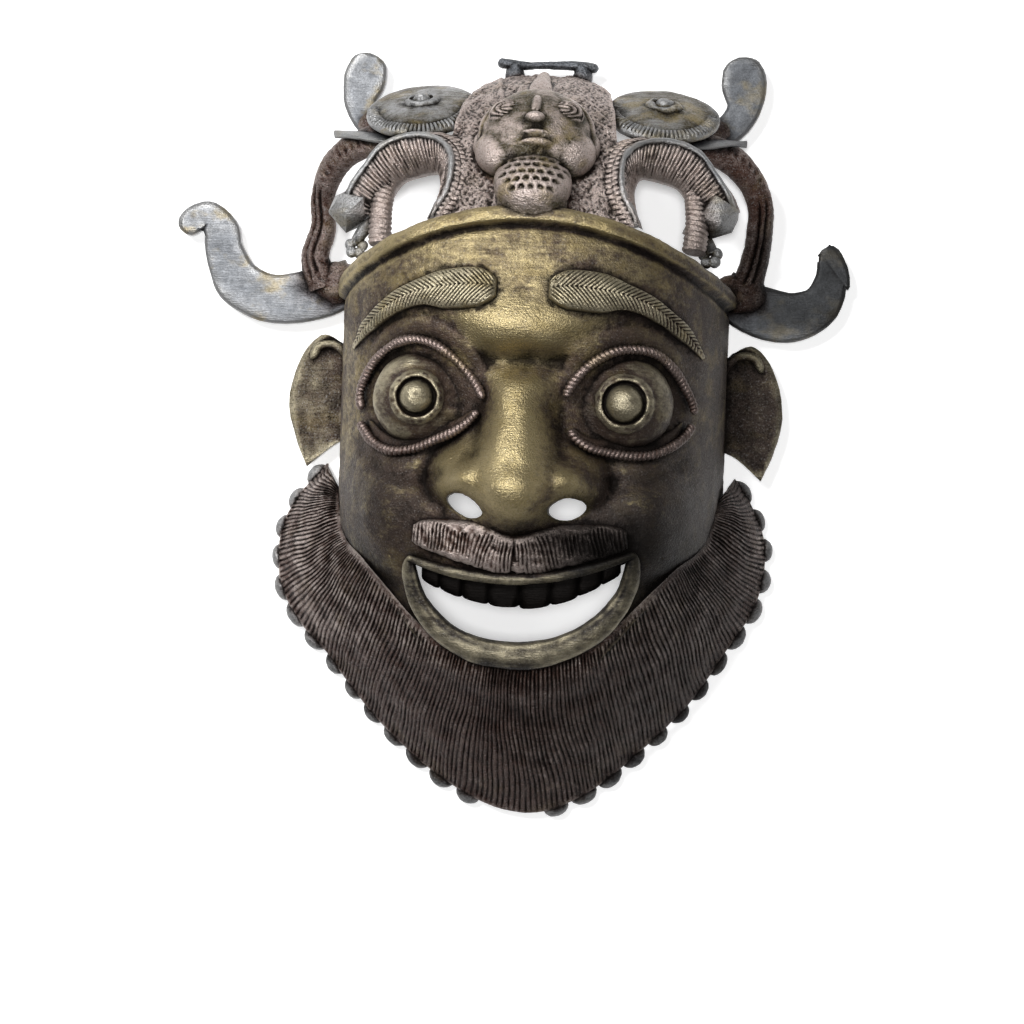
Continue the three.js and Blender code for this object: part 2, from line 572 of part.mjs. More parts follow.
// Turns the finished solid back into a mesh, seated with the middle of its underside at the origin.
function seatedMesh(casting, name, material) {
  const { vertProperties, triVerts, numProp } = casting.getMesh();
  const geometry = new THREE.BufferGeometry();
  const corners = new Float32Array(vertProperties.length / numProp * 3);
  for (let i = 0; i < corners.length / 3; i += 1) {
    for (let k = 0; k < 3; k += 1) corners[i * 3 + k] = vertProperties[i * numProp + k];
  }
  geometry.setAttribute('position', new THREE.BufferAttribute(corners, 3));
  geometry.setIndex(new THREE.BufferAttribute(new Uint32Array(triVerts), 1));
  geometry.computeBoundingBox();
  const { min, max } = geometry.boundingBox;
  geometry.translate(-(min.x + max.x) / 2, -(min.y + max.y) / 2, -min.z);
  geometry.computeVertexNormals();
  const mesh = new THREE.Mesh(geometry, material);
  mesh.name = name;
  return mesh;
}

const bronze = new THREE.MeshStandardMaterial({ color: 0x6b5a34, metalness: 0.9, roughness: 0.45 });
const mask = new THREE.Group();
mask.add(seatedMesh(castMask(), 'mask', bronze));

export default mask;
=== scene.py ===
"""Looks of an old cast bronze face mask that lies on its back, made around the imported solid.

The mask is one lost-wax casting, so all of it is modelled as closed forms that are joined into one
mesh. Lengths are the maker's millimetres: X across the face, Y up it, Z out of it. The last step
moves the mesh to the frame's metres.
"""
from __future__ import annotations

import logging
import math
from dataclasses import dataclass
from enum import Enum, IntEnum
from typing import Callable, Sequence

import bmesh
import bpy
import numpy as np
from mathutils import Matrix, Vector
from mathutils.bvhtree import BVHTree

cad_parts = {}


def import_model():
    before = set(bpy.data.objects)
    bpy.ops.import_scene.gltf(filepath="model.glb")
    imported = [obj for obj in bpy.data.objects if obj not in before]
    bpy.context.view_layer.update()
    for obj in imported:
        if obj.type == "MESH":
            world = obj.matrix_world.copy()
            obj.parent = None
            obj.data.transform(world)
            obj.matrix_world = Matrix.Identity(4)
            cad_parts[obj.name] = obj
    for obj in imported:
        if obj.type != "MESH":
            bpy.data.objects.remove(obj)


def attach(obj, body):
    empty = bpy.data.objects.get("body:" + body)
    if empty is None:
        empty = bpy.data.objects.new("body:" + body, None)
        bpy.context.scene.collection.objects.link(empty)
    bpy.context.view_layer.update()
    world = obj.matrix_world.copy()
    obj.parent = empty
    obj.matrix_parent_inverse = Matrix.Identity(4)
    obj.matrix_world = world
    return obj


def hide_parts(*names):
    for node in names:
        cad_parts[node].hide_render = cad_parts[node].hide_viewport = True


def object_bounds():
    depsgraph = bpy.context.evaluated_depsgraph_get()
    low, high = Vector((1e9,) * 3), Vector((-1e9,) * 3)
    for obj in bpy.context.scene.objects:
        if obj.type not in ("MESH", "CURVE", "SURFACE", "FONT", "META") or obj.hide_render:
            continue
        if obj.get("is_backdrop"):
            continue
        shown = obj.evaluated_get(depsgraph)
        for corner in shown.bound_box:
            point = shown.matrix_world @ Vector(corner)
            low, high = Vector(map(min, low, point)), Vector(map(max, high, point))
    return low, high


Array = np.ndarray
Form = bmesh.types.BMesh
Points = Sequence[Sequence[float]]
Place = Callable[[Array], Array]
Curve = Callable[[Array], Array]
Section = Callable[[Array, Array], tuple[Array, Array]]

logging.basicConfig(level=logging.INFO, format="%(message)s")
LOG = logging.getLogger("mask")

MM = 0.001
SEAT = (14.630, -9.596, 0.0)  # from the maker's origin to the middle of the mask's footprint
MOST_TRIANGLES = 194_000
SAME_PLACE = 1e-4  # millimetres within which two points are joined
SHARP_EDGE = math.radians(62)
FAR_REACH = 26.0  # how far a ray looks for the walls of large hollows
NEAR_REACH = 4.0  # and for the walls of carved gaps


class Region(IntEnum):
    """What each face of the casting belongs to, which decides its skin and its finish."""

    FACE = 0
    BAND = 1
    BROW = 2
    LID = 3
    ROPE = 4
    EYEBALL = 5
    STUD = 6
    LIP = 7
    TOOTH = 8
    MOUSTACHE = 9
    EAR = 10
    BEARD = 11
    BEAD = 12
    CAP = 13
    SMALL_HEAD = 14
    DISC = 15
    ARCH = 16
    CORD = 17
    BEAST_HEAD = 18
    STRUT = 19
    BLADE = 20
    HOOK = 21
    BAR = 22
    INSIDE = 23


class Side(Enum):
    """The two sides of the mask, as the sign of X."""

    RIGHT = -1
    LEFT = 1


# Curves and small helpers

def through(*knots: tuple[float, float]) -> Curve:
    """Returns a smooth function through a few knots, level beyond both ends.

    Args:
        knots: Pairs of input and output, in rising order of input.

    Returns:
        A function from an array of inputs to an array of outputs.
    """
    table = np.array(knots, float)
    last = len(table) - 1
    before = table[np.maximum(np.arange(last + 1) - 1, 0)]
    after = table[np.minimum(np.arange(last + 1) + 1, last)]
    slope = (after[:, 1] - before[:, 1]) / (after[:, 0] - before[:, 0])

    def read(value: Array) -> Array:
        """Reads the curve at each value."""
        x = np.clip(value, table[0, 0], table[last, 0])
        i = np.clip(np.searchsorted(table[:, 0], x, side="right") - 1, 0, last - 1)
        span = table[i + 1, 0] - table[i, 0]
        t = (x - table[i, 0]) / span
        between = (1 + 2 * t) * (1 - t) ** 2 * table[i, 1] + t * t * (3 - 2 * t) * table[i + 1, 1]
        return between + span * (t * (1 - t) ** 2 * slope[i] + t * t * (t - 1) * slope[i + 1])

    return read


def unit(vectors: Array) -> Array:
    """Returns the vectors with length one."""
    return vectors / np.maximum(np.linalg.norm(vectors, axis=-1, keepdims=True), 1e-9)


def ease(value: Array, low: float, high: float) -> Array:
    """Returns a smooth step from 0 at low to 1 at high."""
    t = np.clip((value - low) / (high - low), 0, 1)
    return t * t * (3 - 2 * t)


def soft_max(a: Array, b: Array, blend: float) -> Array:
    """Returns the larger of two arrays with a rounded join."""
    return np.maximum(a, b) + np.maximum(0, blend - np.abs(a - b)) ** 2 / (4 * blend)


def hill(x: Array, y: Array, at: tuple[float, float], wide: float, tall: float, lift: float) -> Array:
    """Returns the height of a round hill, or of a hollow where lift is negative."""
    return lift * np.exp(-(((x - at[0]) / wide) ** 2) - ((y - at[1]) / tall) ** 2)


def swell(points: Array, size: float, seed: int, waves: int = 14) -> Array:
    """Returns a hand-made unevenness: smooth waves in all directions, about one high.

    Args:
        points: Places in millimetres, one row each.
        size: The usual length of a wave in millimetres.
        seed: Chooses the waves, the same on each run.
        waves: How many waves are added up.

    Returns:
        One value for each point.
    """
    rng = np.random.default_rng(seed)
    total = np.zeros(len(points))
    for _ in range(waves):
        heading = unit(rng.normal(size=3)) * 2 * math.pi / (size * rng.uniform(0.65, 1.5))
        total += np.sin(points @ heading + rng.uniform(0, 2 * math.pi))
    return total * math.sqrt(2 / waves) * 0.6


def groove(phase: Array, sharp: float = 0.5) -> Array:
    """Returns 1 on the ridges and 0 in narrow grooves, once for each unit of phase."""
    return np.abs(np.sin(math.pi * phase)) ** sharp


class Route:
    """A smooth centre line through a few points."""

    def __init__(self, points: Points, fine: int = 48) -> None:
        """Rounds the corners between the points.

        Args:
            points: The points, in order.
            fine: How many stops are kept between one point and the next.
        """
        p = np.array(points, float)
        p = np.vstack([2 * p[0] - p[1], p, 2 * p[-1] - p[-2]])
        stops = []
        for k in range(len(p) - 3):
            p0, p1, p2, p3 = p[k:k + 4]
            d0, d1, d2 = (max(float(np.linalg.norm(b - a)) ** 0.5, 1e-4)
                          for a, b in ((p0, p1), (p1, p2), (p2, p3)))
            t1 = ((p1 - p0) / d0 - (p2 - p0) / (d0 + d1) + (p2 - p1) / d1) * d1
            t2 = ((p2 - p1) / d1 - (p3 - p1) / (d1 + d2) + (p3 - p2) / d2) * d1
            s = np.linspace(0, 1, fine, endpoint=False)[:, None]
            stops.append(p1 + t1 * s + (3 * (p2 - p1) - 2 * t1 - t2) * s ** 2
                         + (2 * (p1 - p2) + t1 + t2) * s ** 3)
        self.stops = np.vstack([*stops, p[-2:-1]])
        self.share = np.linspace(0, 1, len(self.stops))
        step = np.linalg.norm(np.diff(self.stops, axis=0), axis=1)
        self.length = float(step.sum())
        self.run = np.concatenate([[0], np.cumsum(step)]) / self.length
        self.headings = unit(np.gradient(self.stops, axis=0))

    def read(self, table: Array, share: Array, even: bool) -> Array:
        """Returns the rows of a table of the route at shares of the way."""
        ticks = self.run if even else self.share
        return np.stack([np.interp(share, ticks, column) for column in table.T], axis=-1)

    def at(self, share: Array, even: bool = False) -> Array:
        """Returns the points at shares of the way, counted by length where even is set."""
        return self.read(self.stops, share, even)

    def heading(self, share: Array, even: bool = False) -> Array:
        """Returns the directions at shares of the way."""
        return unit(self.read(self.headings, share, even))


# Closed forms

def block(columns: int, rows: int) -> Form:
    """Returns a closed block between -1 and 1, fine on its upper and lower faces."""
    bm = bmesh.new()
    bmesh.ops.create_grid(bm, x_segments=columns, y_segments=rows, size=1.0)
    bmesh.ops.translate(bm, verts=bm.verts[:], vec=(0, 0, -1))
    raised = bmesh.ops.extrude_face_region(bm, geom=bm.faces[:])["geom"]
    upper = [v for v in raised if isinstance(v, bmesh.types.BMVert)]
    bmesh.ops.translate(bm, verts=upper, vec=(0, 0, 2))
    return bm


def shape(bm: Form, place: Place) -> Form:
    """Moves every vertex to where place puts it and returns the same mesh."""
    points = np.array([v.co[:] for v in bm.verts])
    for vertex, moved in zip(bm.verts, place(points).tolist()):
        vertex.co = moved
    return bm


def closed(bm: Form) -> Form:
    """Joins seams, closes open ends and turns all faces outwards."""
    bmesh.ops.remove_doubles(bm, verts=bm.verts[:], dist=SAME_PLACE)
    open_edges = [e for e in bm.edges if e.is_boundary]
    if open_edges:
        bmesh.ops.holes_fill(bm, edges=open_edges, sides=0)
    bmesh.ops.recalc_face_normals(bm, faces=bm.faces[:])
    if bm.calc_volume() < 0:
        bmesh.ops.reverse_faces(bm, faces=bm.faces[:])
    return bm


def slab(columns: int, rows: int, place: Place) -> Form:
    """Returns a closed block that place has bent."""
    return closed(shape(block(columns, rows), place))


def rod(route: Route, section: Section, up: Callable[[Array], Array],
        sides: int, steps: int, even: bool = False) -> Form:
    """Returns a rod along a route.

    Args:
        route: The centre line.
        section: From shares and angles to distances across and up.
        up: From points on the centre line to the directions that the section calls up.
        sides: Faces round the rod.
        steps: Faces along it.
        even: Whether shares count by length.

    Returns:
        The closed rod.
    """
    bm = bmesh.new()
    bmesh.ops.create_grid(bm, x_segments=sides, y_segments=steps, size=1.0)

    def place(p: Array) -> Array:
        """Wraps the sheet round the centre line."""
        t, angle = (p[:, 1] + 1) / 2, math.pi * (p[:, 0] + 1)
        at, along = route.at(t, even), route.heading(t, even)
        across = unit(np.cross(along, up(at)))
        a, u = section(t, angle)
        return at + across * a[:, None] + np.cross(across, along) * u[:, None]

    return closed(shape(bm, place))


def turned(profile: Points, sides: int, steps: int, finish: Place) -> Form:
    """Returns a turned form.

    Args:
        profile: Radii and heights from the middle of the top to the middle of the underside.
        sides: Faces round it.
        steps: Faces along the profile.
        finish: Moves points given as x, y and height to their place.

    Returns:
        The closed form.
    """
    line = Route([(r, z, 0.0) for r, z in profile], 12)
    bm = bmesh.new()
    bmesh.ops.create_grid(bm, x_segments=sides, y_segments=steps, size=1.0)

    def place(p: Array) -> Array:
        """Turns the profile about the vertical."""
        at = line.at((p[:, 1] + 1) / 2, even=True)
        angle = math.pi * (p[:, 0] + 1)
        r = np.maximum(at[:, 0], 0)
        return finish(np.stack([r * np.cos(angle), r * np.sin(angle), at[:, 1]], axis=-1))

    return closed(shape(bm, place))


def lump(at: Sequence[float], radii: Sequence[float], lean: float = 0.0, fine: int = 24,
         carve: Place | None = None) -> Form:
    """Returns an oval lump that leans back by an angle, carved first where carve is given."""
    bm = bmesh.new()
    bmesh.ops.create_uvsphere(bm, u_segments=fine, v_segments=max(6, fine * 2 // 3), radius=1.0)
    if carve:
        shape(bm, carve)
    matrix = Matrix.Translation(at) @ Matrix.Rotation(-lean, 4, "X") @ Matrix.Diagonal((*radii, 1))
    bmesh.ops.transform(bm, verts=bm.verts[:], matrix=matrix)
    return closed(bm)


def ribbon(near: Route, far: Route, front: Callable[[Array, Array], Array], thickness: float, columns: int,
           rows: int) -> Form:
    """Returns a closed band between two lines.

    Args:
        near: Its first edge.
        far: Its second edge, which runs the same way.
        front: From shares across (0 to 1) and along to the height over the straight line between the edges.
        thickness: How far it reaches back.
        columns: Faces across.
        rows: Faces along.

    Returns:
        The closed band.
    """
    def place(p: Array) -> Array:
        """Lays the block between the lines."""
        share, t = (p[:, 0] + 1) / 2, (p[:, 1] + 1) / 2
        start = near.at(t, even=True)
        at = start + (far.at(t, even=True) - start) * share[:, None]
        at[:, 2] += np.where(p[:, 2] > 0, front(share, t), -thickness)
        return at

    return slab(columns, rows, place)


def oval(wide: Curve, high: Curve) -> Section:
    """Returns an oval section from its half width and half height along the rod."""
    return lambda t, angle: (wide(t) * np.cos(angle), high(t) * np.sin(angle))


def level(value: float) -> Curve:
    """Returns a curve that has one value all along."""
    return lambda t: np.full_like(t, value)


def rounded(t: Array, share: float) -> Array:
    """Returns 1 along a rod, drawn in to a round tip over a share of both ends."""
    near = np.clip(1 - np.minimum(t, 1 - t) / share, 0, 1)
    return np.sqrt(np.maximum(0.03, 1 - near ** 2))


def facing(*direction: float) -> Callable[[Array], Array]:
    """Returns a function that gives one direction everywhere."""
    one = unit(np.array(direction, float))
    return lambda at: np.broadcast_to(one, at.shape)


def mirrored(points: Points, side: Side) -> list[tuple[float, ...]]:
    """Returns the points of the mask's left side, or their mirror image."""
    return [(p[0] * side.value, *p[1:]) for p in points]


class Casting:
    """Collects closed forms and joins them into one mesh that remembers their regions."""

    def __init__(self) -> None:
        """Starts with no forms."""
        self.shell: list[bpy.types.Object] = []
        self.cutters: list[bpy.types.Object] = []
        self.fittings: list[bpy.types.Object] = []

    @staticmethod
    def hold(bm: Form, region: Region) -> bpy.types.Object:
        """Turns a closed form into a hidden working object marked with its region."""
        mesh = bpy.data.meshes.new("form")
        bm.to_mesh(mesh)
        bm.free()
        mark = mesh.attributes.new("region", "INT", "FACE")
        mark.data.foreach_set("value", np.full(len(mesh.polygons), int(region), np.int32))
        return bpy.data.objects.new("form", mesh)

    def add_to_shell(self, bm: Form, region: Region) -> None:
        """Adds a form that is hollowed out with the face."""
        self.shell.append(self.hold(bm, region))

    def cut(self, bm: Form) -> None:
        """Adds a form that is taken away from the shell."""
        self.cutters.append(self.hold(bm, Region.INSIDE))

    def add(self, bm: Form, region: Region) -> None:
        """Adds a form to the hollowed shell."""
        self.fittings.append(self.hold(bm, region))

    @staticmethod
    def combine(body: bpy.types.Object, others: list[bpy.types.Object], operation: str) -> bpy.types.Object:
        """Joins or cuts a body with many others in one step.

        Args:
            body: The form to change.
            others: The forms to join to it or cut from it, which are removed.
            operation: UNION or DIFFERENCE.

        Returns:
            A new working object.
        """
        group = bpy.data.collections.new("forms")
        bpy.context.scene.collection.children.link(group)
        bpy.context.scene.collection.objects.link(body)
        for other in others:
            group.objects.link(other)
        step = body.modifiers.new("join", "BOOLEAN")
        step.solver, step.operation = "MANIFOLD", operation
        step.operand_type, step.collection = "COLLECTION", group
        mesh = bpy.data.meshes.new_from_object(body.evaluated_get(bpy.context.evaluated_depsgraph_get()))
        for used in [body, *others]:
            data = used.data
            bpy.data.objects.remove(used)
            bpy.data.meshes.remove(data)
        bpy.data.collections.remove(group)
        return bpy.data.objects.new("form", mesh)

    def pour(self) -> bpy.types.Object:
        """Joins all forms: the shell first, then its hollow, then everything fitted to it."""
        first, *features = self.shell
        face = self.combine(first, features, "UNION")
        face = self.combine(face, self.cutters, "DIFFERENCE")
        LOG.info("face shell: %d faces", len(face.data.polygons))
        return self.combine(face, self.fittings, "UNION")


# The face

@dataclass(frozen=True)
class Hill:
    """One hill or hollow of the face, listed for one side and repeated on the other."""

    at: tuple[float, float]
    wide: float
    tall: float
    lift: float


@dataclass
class Face:
    """The shell of the face, its headband, and the hollow behind it."""

    half_width: float = 98.0
    depth: float = 107.0
    rim_height: float = 8.0
    wall: float = 4.0
    band_top: float = 116.0
    band_drop: float = 33.0
    band_width: float = 8.0
    band_rise: float = 3.6
    chin_drop: float = 116.0
    columns: int = 380
    rows: int = 250
    hills: tuple[Hill, ...] = (
        Hill((0, 58), 30, 12, 6), Hill((0, 40), 18, 7, -8), Hill((50, 22), 33, 29, -11),
        Hill((70, -30), 27, 26, 12), Hill((46, -20), 11, 18, -3), Hill((0, -52), 54, 15, 8))
    jaw_shape: Curve = through((-0.35, 0.93), (0, 1), (0.35, 0.93), (0.5, 0.8), (0.62, 0.68), (0.78, 0.54),
                               (0.93, 0.41), (1, 0.16))
    nose_rise: Curve = through((-48, 0), (-40, 8), (-30, 25), (-18, 34), (-4, 31), (12, 23), (34, 10),
                               (46, 0))
    nose_half_width: Curve = through((-40, 20), (-26, 25), (-14, 25), (0, 21), (14, 17), (40, 13))
    tip_rise: float = 37.0
    wing_rise: float = 26.0
    tip_blend: float = 14.0
    wing_blend: float = 24.0

    def band_line(self, x: Array) -> Array:
        """Returns the upper edge of the shell."""
        return self.band_top - self.band_drop * (x / self.half_width) ** 2

    def jaw_line(self, x: Array) -> Array:
        """Returns the lower edge of the shell, under the beard."""
        return -self.chin_drop * self.jaw_shape(np.abs(x) / self.half_width)

    def dome(self, x: Array, y: Array, inset: float = 0.0) -> Array:
        """Returns the plain dome of the head, drawn in by inset for its inner side."""
        sag = np.where(y > 60, 0.0026, 0.00085) * (y - 60) ** 2
        across = np.minimum(1, np.abs(x) / (self.half_width - inset))
        return self.rim_height + (self.depth - inset - sag - self.rim_height) * (1 - across ** 2.5) ** 0.4

    def nose(self, x: Array, y: Array) -> Array:
        """Returns the height of the nose."""
        bridge = self.nose_rise(y) * np.exp(-np.abs((x + 1) / self.nose_half_width(y)) ** 3)
        tip = self.tip_rise * np.exp(-np.hypot((x + 0.5) / 23, (y + 23) / 17.5) ** 2.6)
        wing = hill(np.abs(x), y, (25, -16), 15, 13.5, self.wing_rise)
        return soft_max(soft_max(bridge, tip, self.tip_blend), wing, self.wing_blend)

    def relief(self, x: Array, y: Array) -> Array:
        """Returns how far the features stand out of the dome."""
        out = np.sqrt(x * x + 4)
        total = sum(hill(out, y, h.at, h.wide, h.tall, h.lift) for h in self.hills)
        return (total + self.nose(x, y)) * np.maximum(0, 1 - (np.abs(x) / self.half_width) ** 6)

    def height(self, x: Array, y: Array) -> Array:
        """Returns the height of the face without its fine carving."""
        return self.dome(x, y) + self.relief(x, y)

    def carving(self, x: Array, y: Array) -> Array:
        """Returns the fine creases that the wax worker cut into the face."""
        out = np.abs(x)
        total = hill(x, y, (0, 44), 15, 4, -1.6) + hill(out, y, (18, 42), 7, 5, -1.2)
        total += hill(out, y, (19, 12), 4, 20, -1.2) + hill(out, y, (17, -13), 3, 9, -0.4)
        wing = np.hypot((x - np.sign(x) * 25) * 0.92, y + 15)
        total -= 3.4 * np.exp(-((wing - 18.5) / 3.4) ** 2) * ease(out, 24, 35) * ease(y, -34, -22)
        fold = np.hypot(out - 12, (y + 40) * 1.15)
        total -= 1.5 * np.exp(-((fold - 45) / 6) ** 2) * ease(-y, 22, 36) * ease(out, 36, 46)
        total += hill(out, y, (24.5, -31), 12, 6.5, -5.5) + hill(x, y, (0, -45), 26, 3.5, -2)
        above = y - self.jaw_line(x)
        total -= 1.6 * (1 - ease(above, 0, 26)) * ease(-y, 24, 52)
        cheek = np.hypot((out - 66) * 0.95, (y + 28) * 0.9)
        total -= 1.6 * np.exp(-((cheek - 33) / 6) ** 2) * ease(-y, 38, 54)
        around = np.hypot(out - 50, y - 22)
        total -= 2.4 * np.exp(-((around - 38) / 4.5) ** 2) * ease(-y, -8, 12)
        total -= 1.6 * np.exp(-((around - 39) / 5) ** 2) * ease(y, 30, 48)
        return total * np.maximum(0, 1 - (out / self.half_width) ** 8)

    def normal(self, x: Array, y: Array) -> Array:
        """Returns the outward direction of the face at each point."""
        step = 1.5
        x = np.clip(x, 1 - self.half_width, self.half_width - 1)
        sign = np.where(x < 0, -1.0, 1.0)
        slope_x = (self.height(x, y) - self.height(x - sign * step, y)) / step * sign
        slope_y = (self.height(x, y + step) - self.height(x, y - step)) / (2 * step)
        return unit(np.stack([-slope_x, -slope_y, np.ones_like(slope_x)], axis=-1))

    def lifted(self, points: Points, lift: float) -> list[list[float]]:
        """Returns [x, y] points as places on the face, standing lift above it."""
        xy = np.array([p[:2] for p in points], float)
        at = np.column_stack([xy, self.height(xy[:, 0], xy[:, 1])])
        return (at + lift * self.normal(xy[:, 0], xy[:, 1])).tolist()

    def up(self, at: Array) -> Array:
        """Returns the outward direction of the face at places on it."""
        return self.normal(at[:, 0], at[:, 1])

    def columns_across(self, share: Array, width: float) -> Array:
        """Returns x for shares from -1 to 1 that step evenly over the dome."""
        angle = np.linspace(0, math.pi / 2, 400)
        x, z = np.sin(angle) ** 0.8, np.cos(angle) ** 0.8
        run = np.concatenate([[0], np.cumsum(np.hypot(np.diff(x), np.diff(z)))])
        return np.sign(share) * np.interp(np.abs(share), run / run[-1], x) * width

    def build(self, casting: Casting) -> None:
        """Makes the shell with its headband."""
        def place(p: Array) -> Array:
            """Bends the block over the face."""
            x = self.columns_across(p[:, 0], self.half_width)
            y = self.jaw_line(x) + (self.band_line(x) - self.jaw_line(x)) * (p[:, 1] + 1) / 2
            below = self.band_line(x) - y
            rise = self.band_rise * ease(self.band_width + 1 - below, 0, 2.6)
            rise *= 1 - 0.35 * ease(2.2 - below, 0, 2.2)
            rise -= 1.1 * np.exp(-((below - self.band_width - 2.4) / 1.3) ** 2)
            out = x / self.half_width
            top = self.height(x, y) + self.carving(x, y) + rise * (1 - out ** 8)
            upper = p[:, 2] > 0
            return np.stack([np.where(upper, x + rise * out ** 5, x), y, np.where(upper, top, 0)], axis=-1)

        casting.add_to_shell(slab(self.columns, self.rows, place), Region.FACE)

    def hollow(self, casting: Casting) -> None:
        """Cuts the hollow that the wearer's face would fill."""
        def place(p: Array) -> Array:
            """Bends the block to the inner side of the shell."""
            x = self.columns_across(p[:, 0], self.half_width - self.wall)
            y = self.jaw_line(x) - 30 + (self.band_line(x) - self.jaw_line(x) + 60) * (p[:, 1] + 1) / 2
            near = [self.relief(x + dx, y + dy) + np.minimum(self.carving(x + dx, y + dy), 0)
                    for dx in (-7, 0, 7) for dy in (-7, 0, 7)]
            eyes = hill(np.abs(x), y, (50, 22), 15, 15, 11)
            top = self.dome(x, y, self.wall) + np.minimum(np.min(near, axis=0), 30) + eyes
            return np.stack([x, y, np.where(p[:, 2] > 0, top, -30)], axis=-1)

        casting.cut(slab(48, 40, place))


@dataclass
class Eye:
    """One eye: ball, iris ring, stud, folded lids and their notched ropes."""

    face: Face
    side: Side
    upper: Points
    lower: Points
    stud_radius: float
    middle: tuple[float, float] = (50.0, 22.6)
    ball_radius: float = 22.5
    ball_rise: float = 0.62  # height over radius
    gap: float = 2.6  # between the stud and the crest of the ring
    ring_slope: float = 2.4
    rope_radius: float = 2.3
    notch: float = 2.25

    def build(self, casting: Casting) -> None:
        """Makes the whole eye."""
        self.build_ball(casting)
        self.build_rope(casting, self.upper, -1)
        self.build_rope(casting, self.lower, 1)
        self.build_lids(casting)

    def build_ball(self, casting: Casting) -> None:
        """Makes the ball with its step, rough ring and stud, and the corner towards the nose."""
        x, y = self.side.value * self.middle[0], self.middle[1]
        base = float(self.face.height(np.array([x]), np.array([y]))[0])
        radius, stud = self.ball_radius, self.stud_radius
        ring = stud + self.gap
        step = ring + self.ring_slope

        def ball(r: float) -> float:
            """Returns the height of the plain ball at a radius."""
            return radius * self.ball_rise * math.sqrt(max(0.0, 1 - (r / radius) ** 2))

        flat = ball(step) + 1.3
        profile = [(0.01, flat + 6.3), (stud * 0.35, flat + 6.0), (stud * 0.7, flat + 4.5),
                   (stud * 0.93, flat + 2.1), (stud, flat - 0.7), (ring - 1.5, flat - 0.5),
                   (ring - 0.9, flat + 1.3), (ring, flat + 1.7), (ring + 0.8, flat + 0.9),
                   (step - 0.8, flat + 0.4), (step, flat - 0.3), (step + 0.7, ball(step + 0.7)),
                   (radius * 0.8, ball(radius * 0.8)), (radius * 0.93, ball(radius * 0.93)), (radius, 0.5),
                   (radius * 0.98, -6), (0.01, -8)]

        def finish(p: Array) -> Array:
            """Sets the ball on the face and roughens its ring."""
            r = np.hypot(p[:, 0], p[:, 1])
            rough = swell(p, 3.4, 5 + self.side.value) * 0.45 * np.exp(-((r - ring) / 1.7) ** 2)
            rough += swell(p, 9, 9 + self.side.value) * 0.35 * ease(r, step, step + 3)
            # Towards the nose the ball is drawn out into the corner of the eye.
            inward = -self.side.value * p[:, 0] / np.maximum(r, 1e-6)
            corner = np.clip(inward * 0.97 - 0.25 * p[:, 1] / np.maximum(r, 1e-6), 0, 1) ** 6
            drawn = 1 + 0.42 * corner * ease(r, step, radius)
            return np.stack([x + p[:, 0] * drawn, y + p[:, 1] * drawn, base + p[:, 2] + rough], axis=-1)

        casting.add_to_shell(turned(profile, 96, 70, finish), Region.EYEBALL)
        pin = [(0.01, flat + 6.5), (stud * 0.35, flat + 6.2), (stud * 0.72, flat + 4.6),
               (stud * 0.93, flat + 2.2), (stud * 1.01, flat - 0.2), (stud * 0.8, flat - 2),
               (0.01, flat - 2.5)]
        casting.add_to_shell(turned(pin, 56, 26, lambda p: np.stack(
            [x + p[:, 0], y + p[:, 1], base + p[:, 2] + 0.25 * swell(p, 7, 3)], axis=-1)), Region.STUD)

    def build_rope(self, casting: Casting, line: Points, slant: int) -> None:
        """Makes one notched rope along the edge of a lid."""
        route = Route(self.face.lifted(line, 2.6))
        turns = route.length / self.notch

        def section(t: Array, angle: Array) -> tuple[Array, Array]:
            """Cuts slanting notches into a round rope."""
            bite = groove(t * turns + slant * 0.32 * np.cos(angle), 0.55)
            r = self.rope_radius * rounded(t, 0.03) * (0.68 + 0.36 * bite)
            return r * np.cos(angle), r * np.sin(angle)

        casting.add_to_shell(rod(route, section, self.face.up, 18, int(turns * 6), even=True), Region.ROPE)

    def build_lids(self, casting: Casting) -> None:
        """Makes the soft fold above the upper rope and the band between ball and lower rope."""
        centre = np.array([self.side.value * self.middle[0], self.middle[1]])

        def offset(line: Points, by: float) -> list[list[float]]:
            """Moves a line away from the middle of the eye."""
            points = np.array(line, float)
            return (points + unit(points - centre) * by).tolist()

        for line, by, lift, wide, high, sides, steps in (
                (self.upper, 4.8, -2.7, 6.0, 2.7, 16, 60), (self.lower, -3.6, 0.4, 4.4, 1.6, 14, 50)):
            route = Route(self.face.lifted(offset(line, by), lift))
            section = oval(lambda t, wide=wide: 0.4 + wide * np.sin(math.pi * t) ** 0.7,
                           lambda t, high=high: 0.3 + high * np.sin(math.pi * t) ** 0.7)
            casting.add_to_shell(rod(route, section, self.face.up, sides, steps, even=True), Region.LID)


def pad(face: Face, line: Points, half: Curve, top: Callable[[Array, Array, Array], Array],
        columns: int, rows: int, sink: float = 2.0) -> Form:
    """Returns a raised pad that follows a line on the face.

    Args:
        face: The surface that carries it.
        line: The [x, y] points of its middle line.
        half: Its half width at shares of the way.
        top: From shares across (-1 to 1), shares along and millimetres across to its height.
        columns: Faces across.
        rows: Faces along.
        sink: How deep its foot is set into the face.

    Returns:
        The closed pad.
    """
    route = Route([(x, y, 0.0) for x, y in line])

    def place(p: Array) -> Array:
        """Lays the block along the line."""
        t = (p[:, 1] + 1) / 2
        at, along = route.at(t, even=True), route.heading(t, even=True)
        wide = half(t)
        x = at[:, 0] - along[:, 1] * p[:, 0] * wide
        y = at[:, 1] + along[:, 0] * p[:, 0] * wide
        lift = np.where(p[:, 2] > 0, top(p[:, 0], t, p[:, 0] * wide), -sink)
        foot = np.column_stack([x, y, face.height(x, y)])
        return foot + face.normal(x, y) * lift[:, None]

    return slab(columns, rows, place)


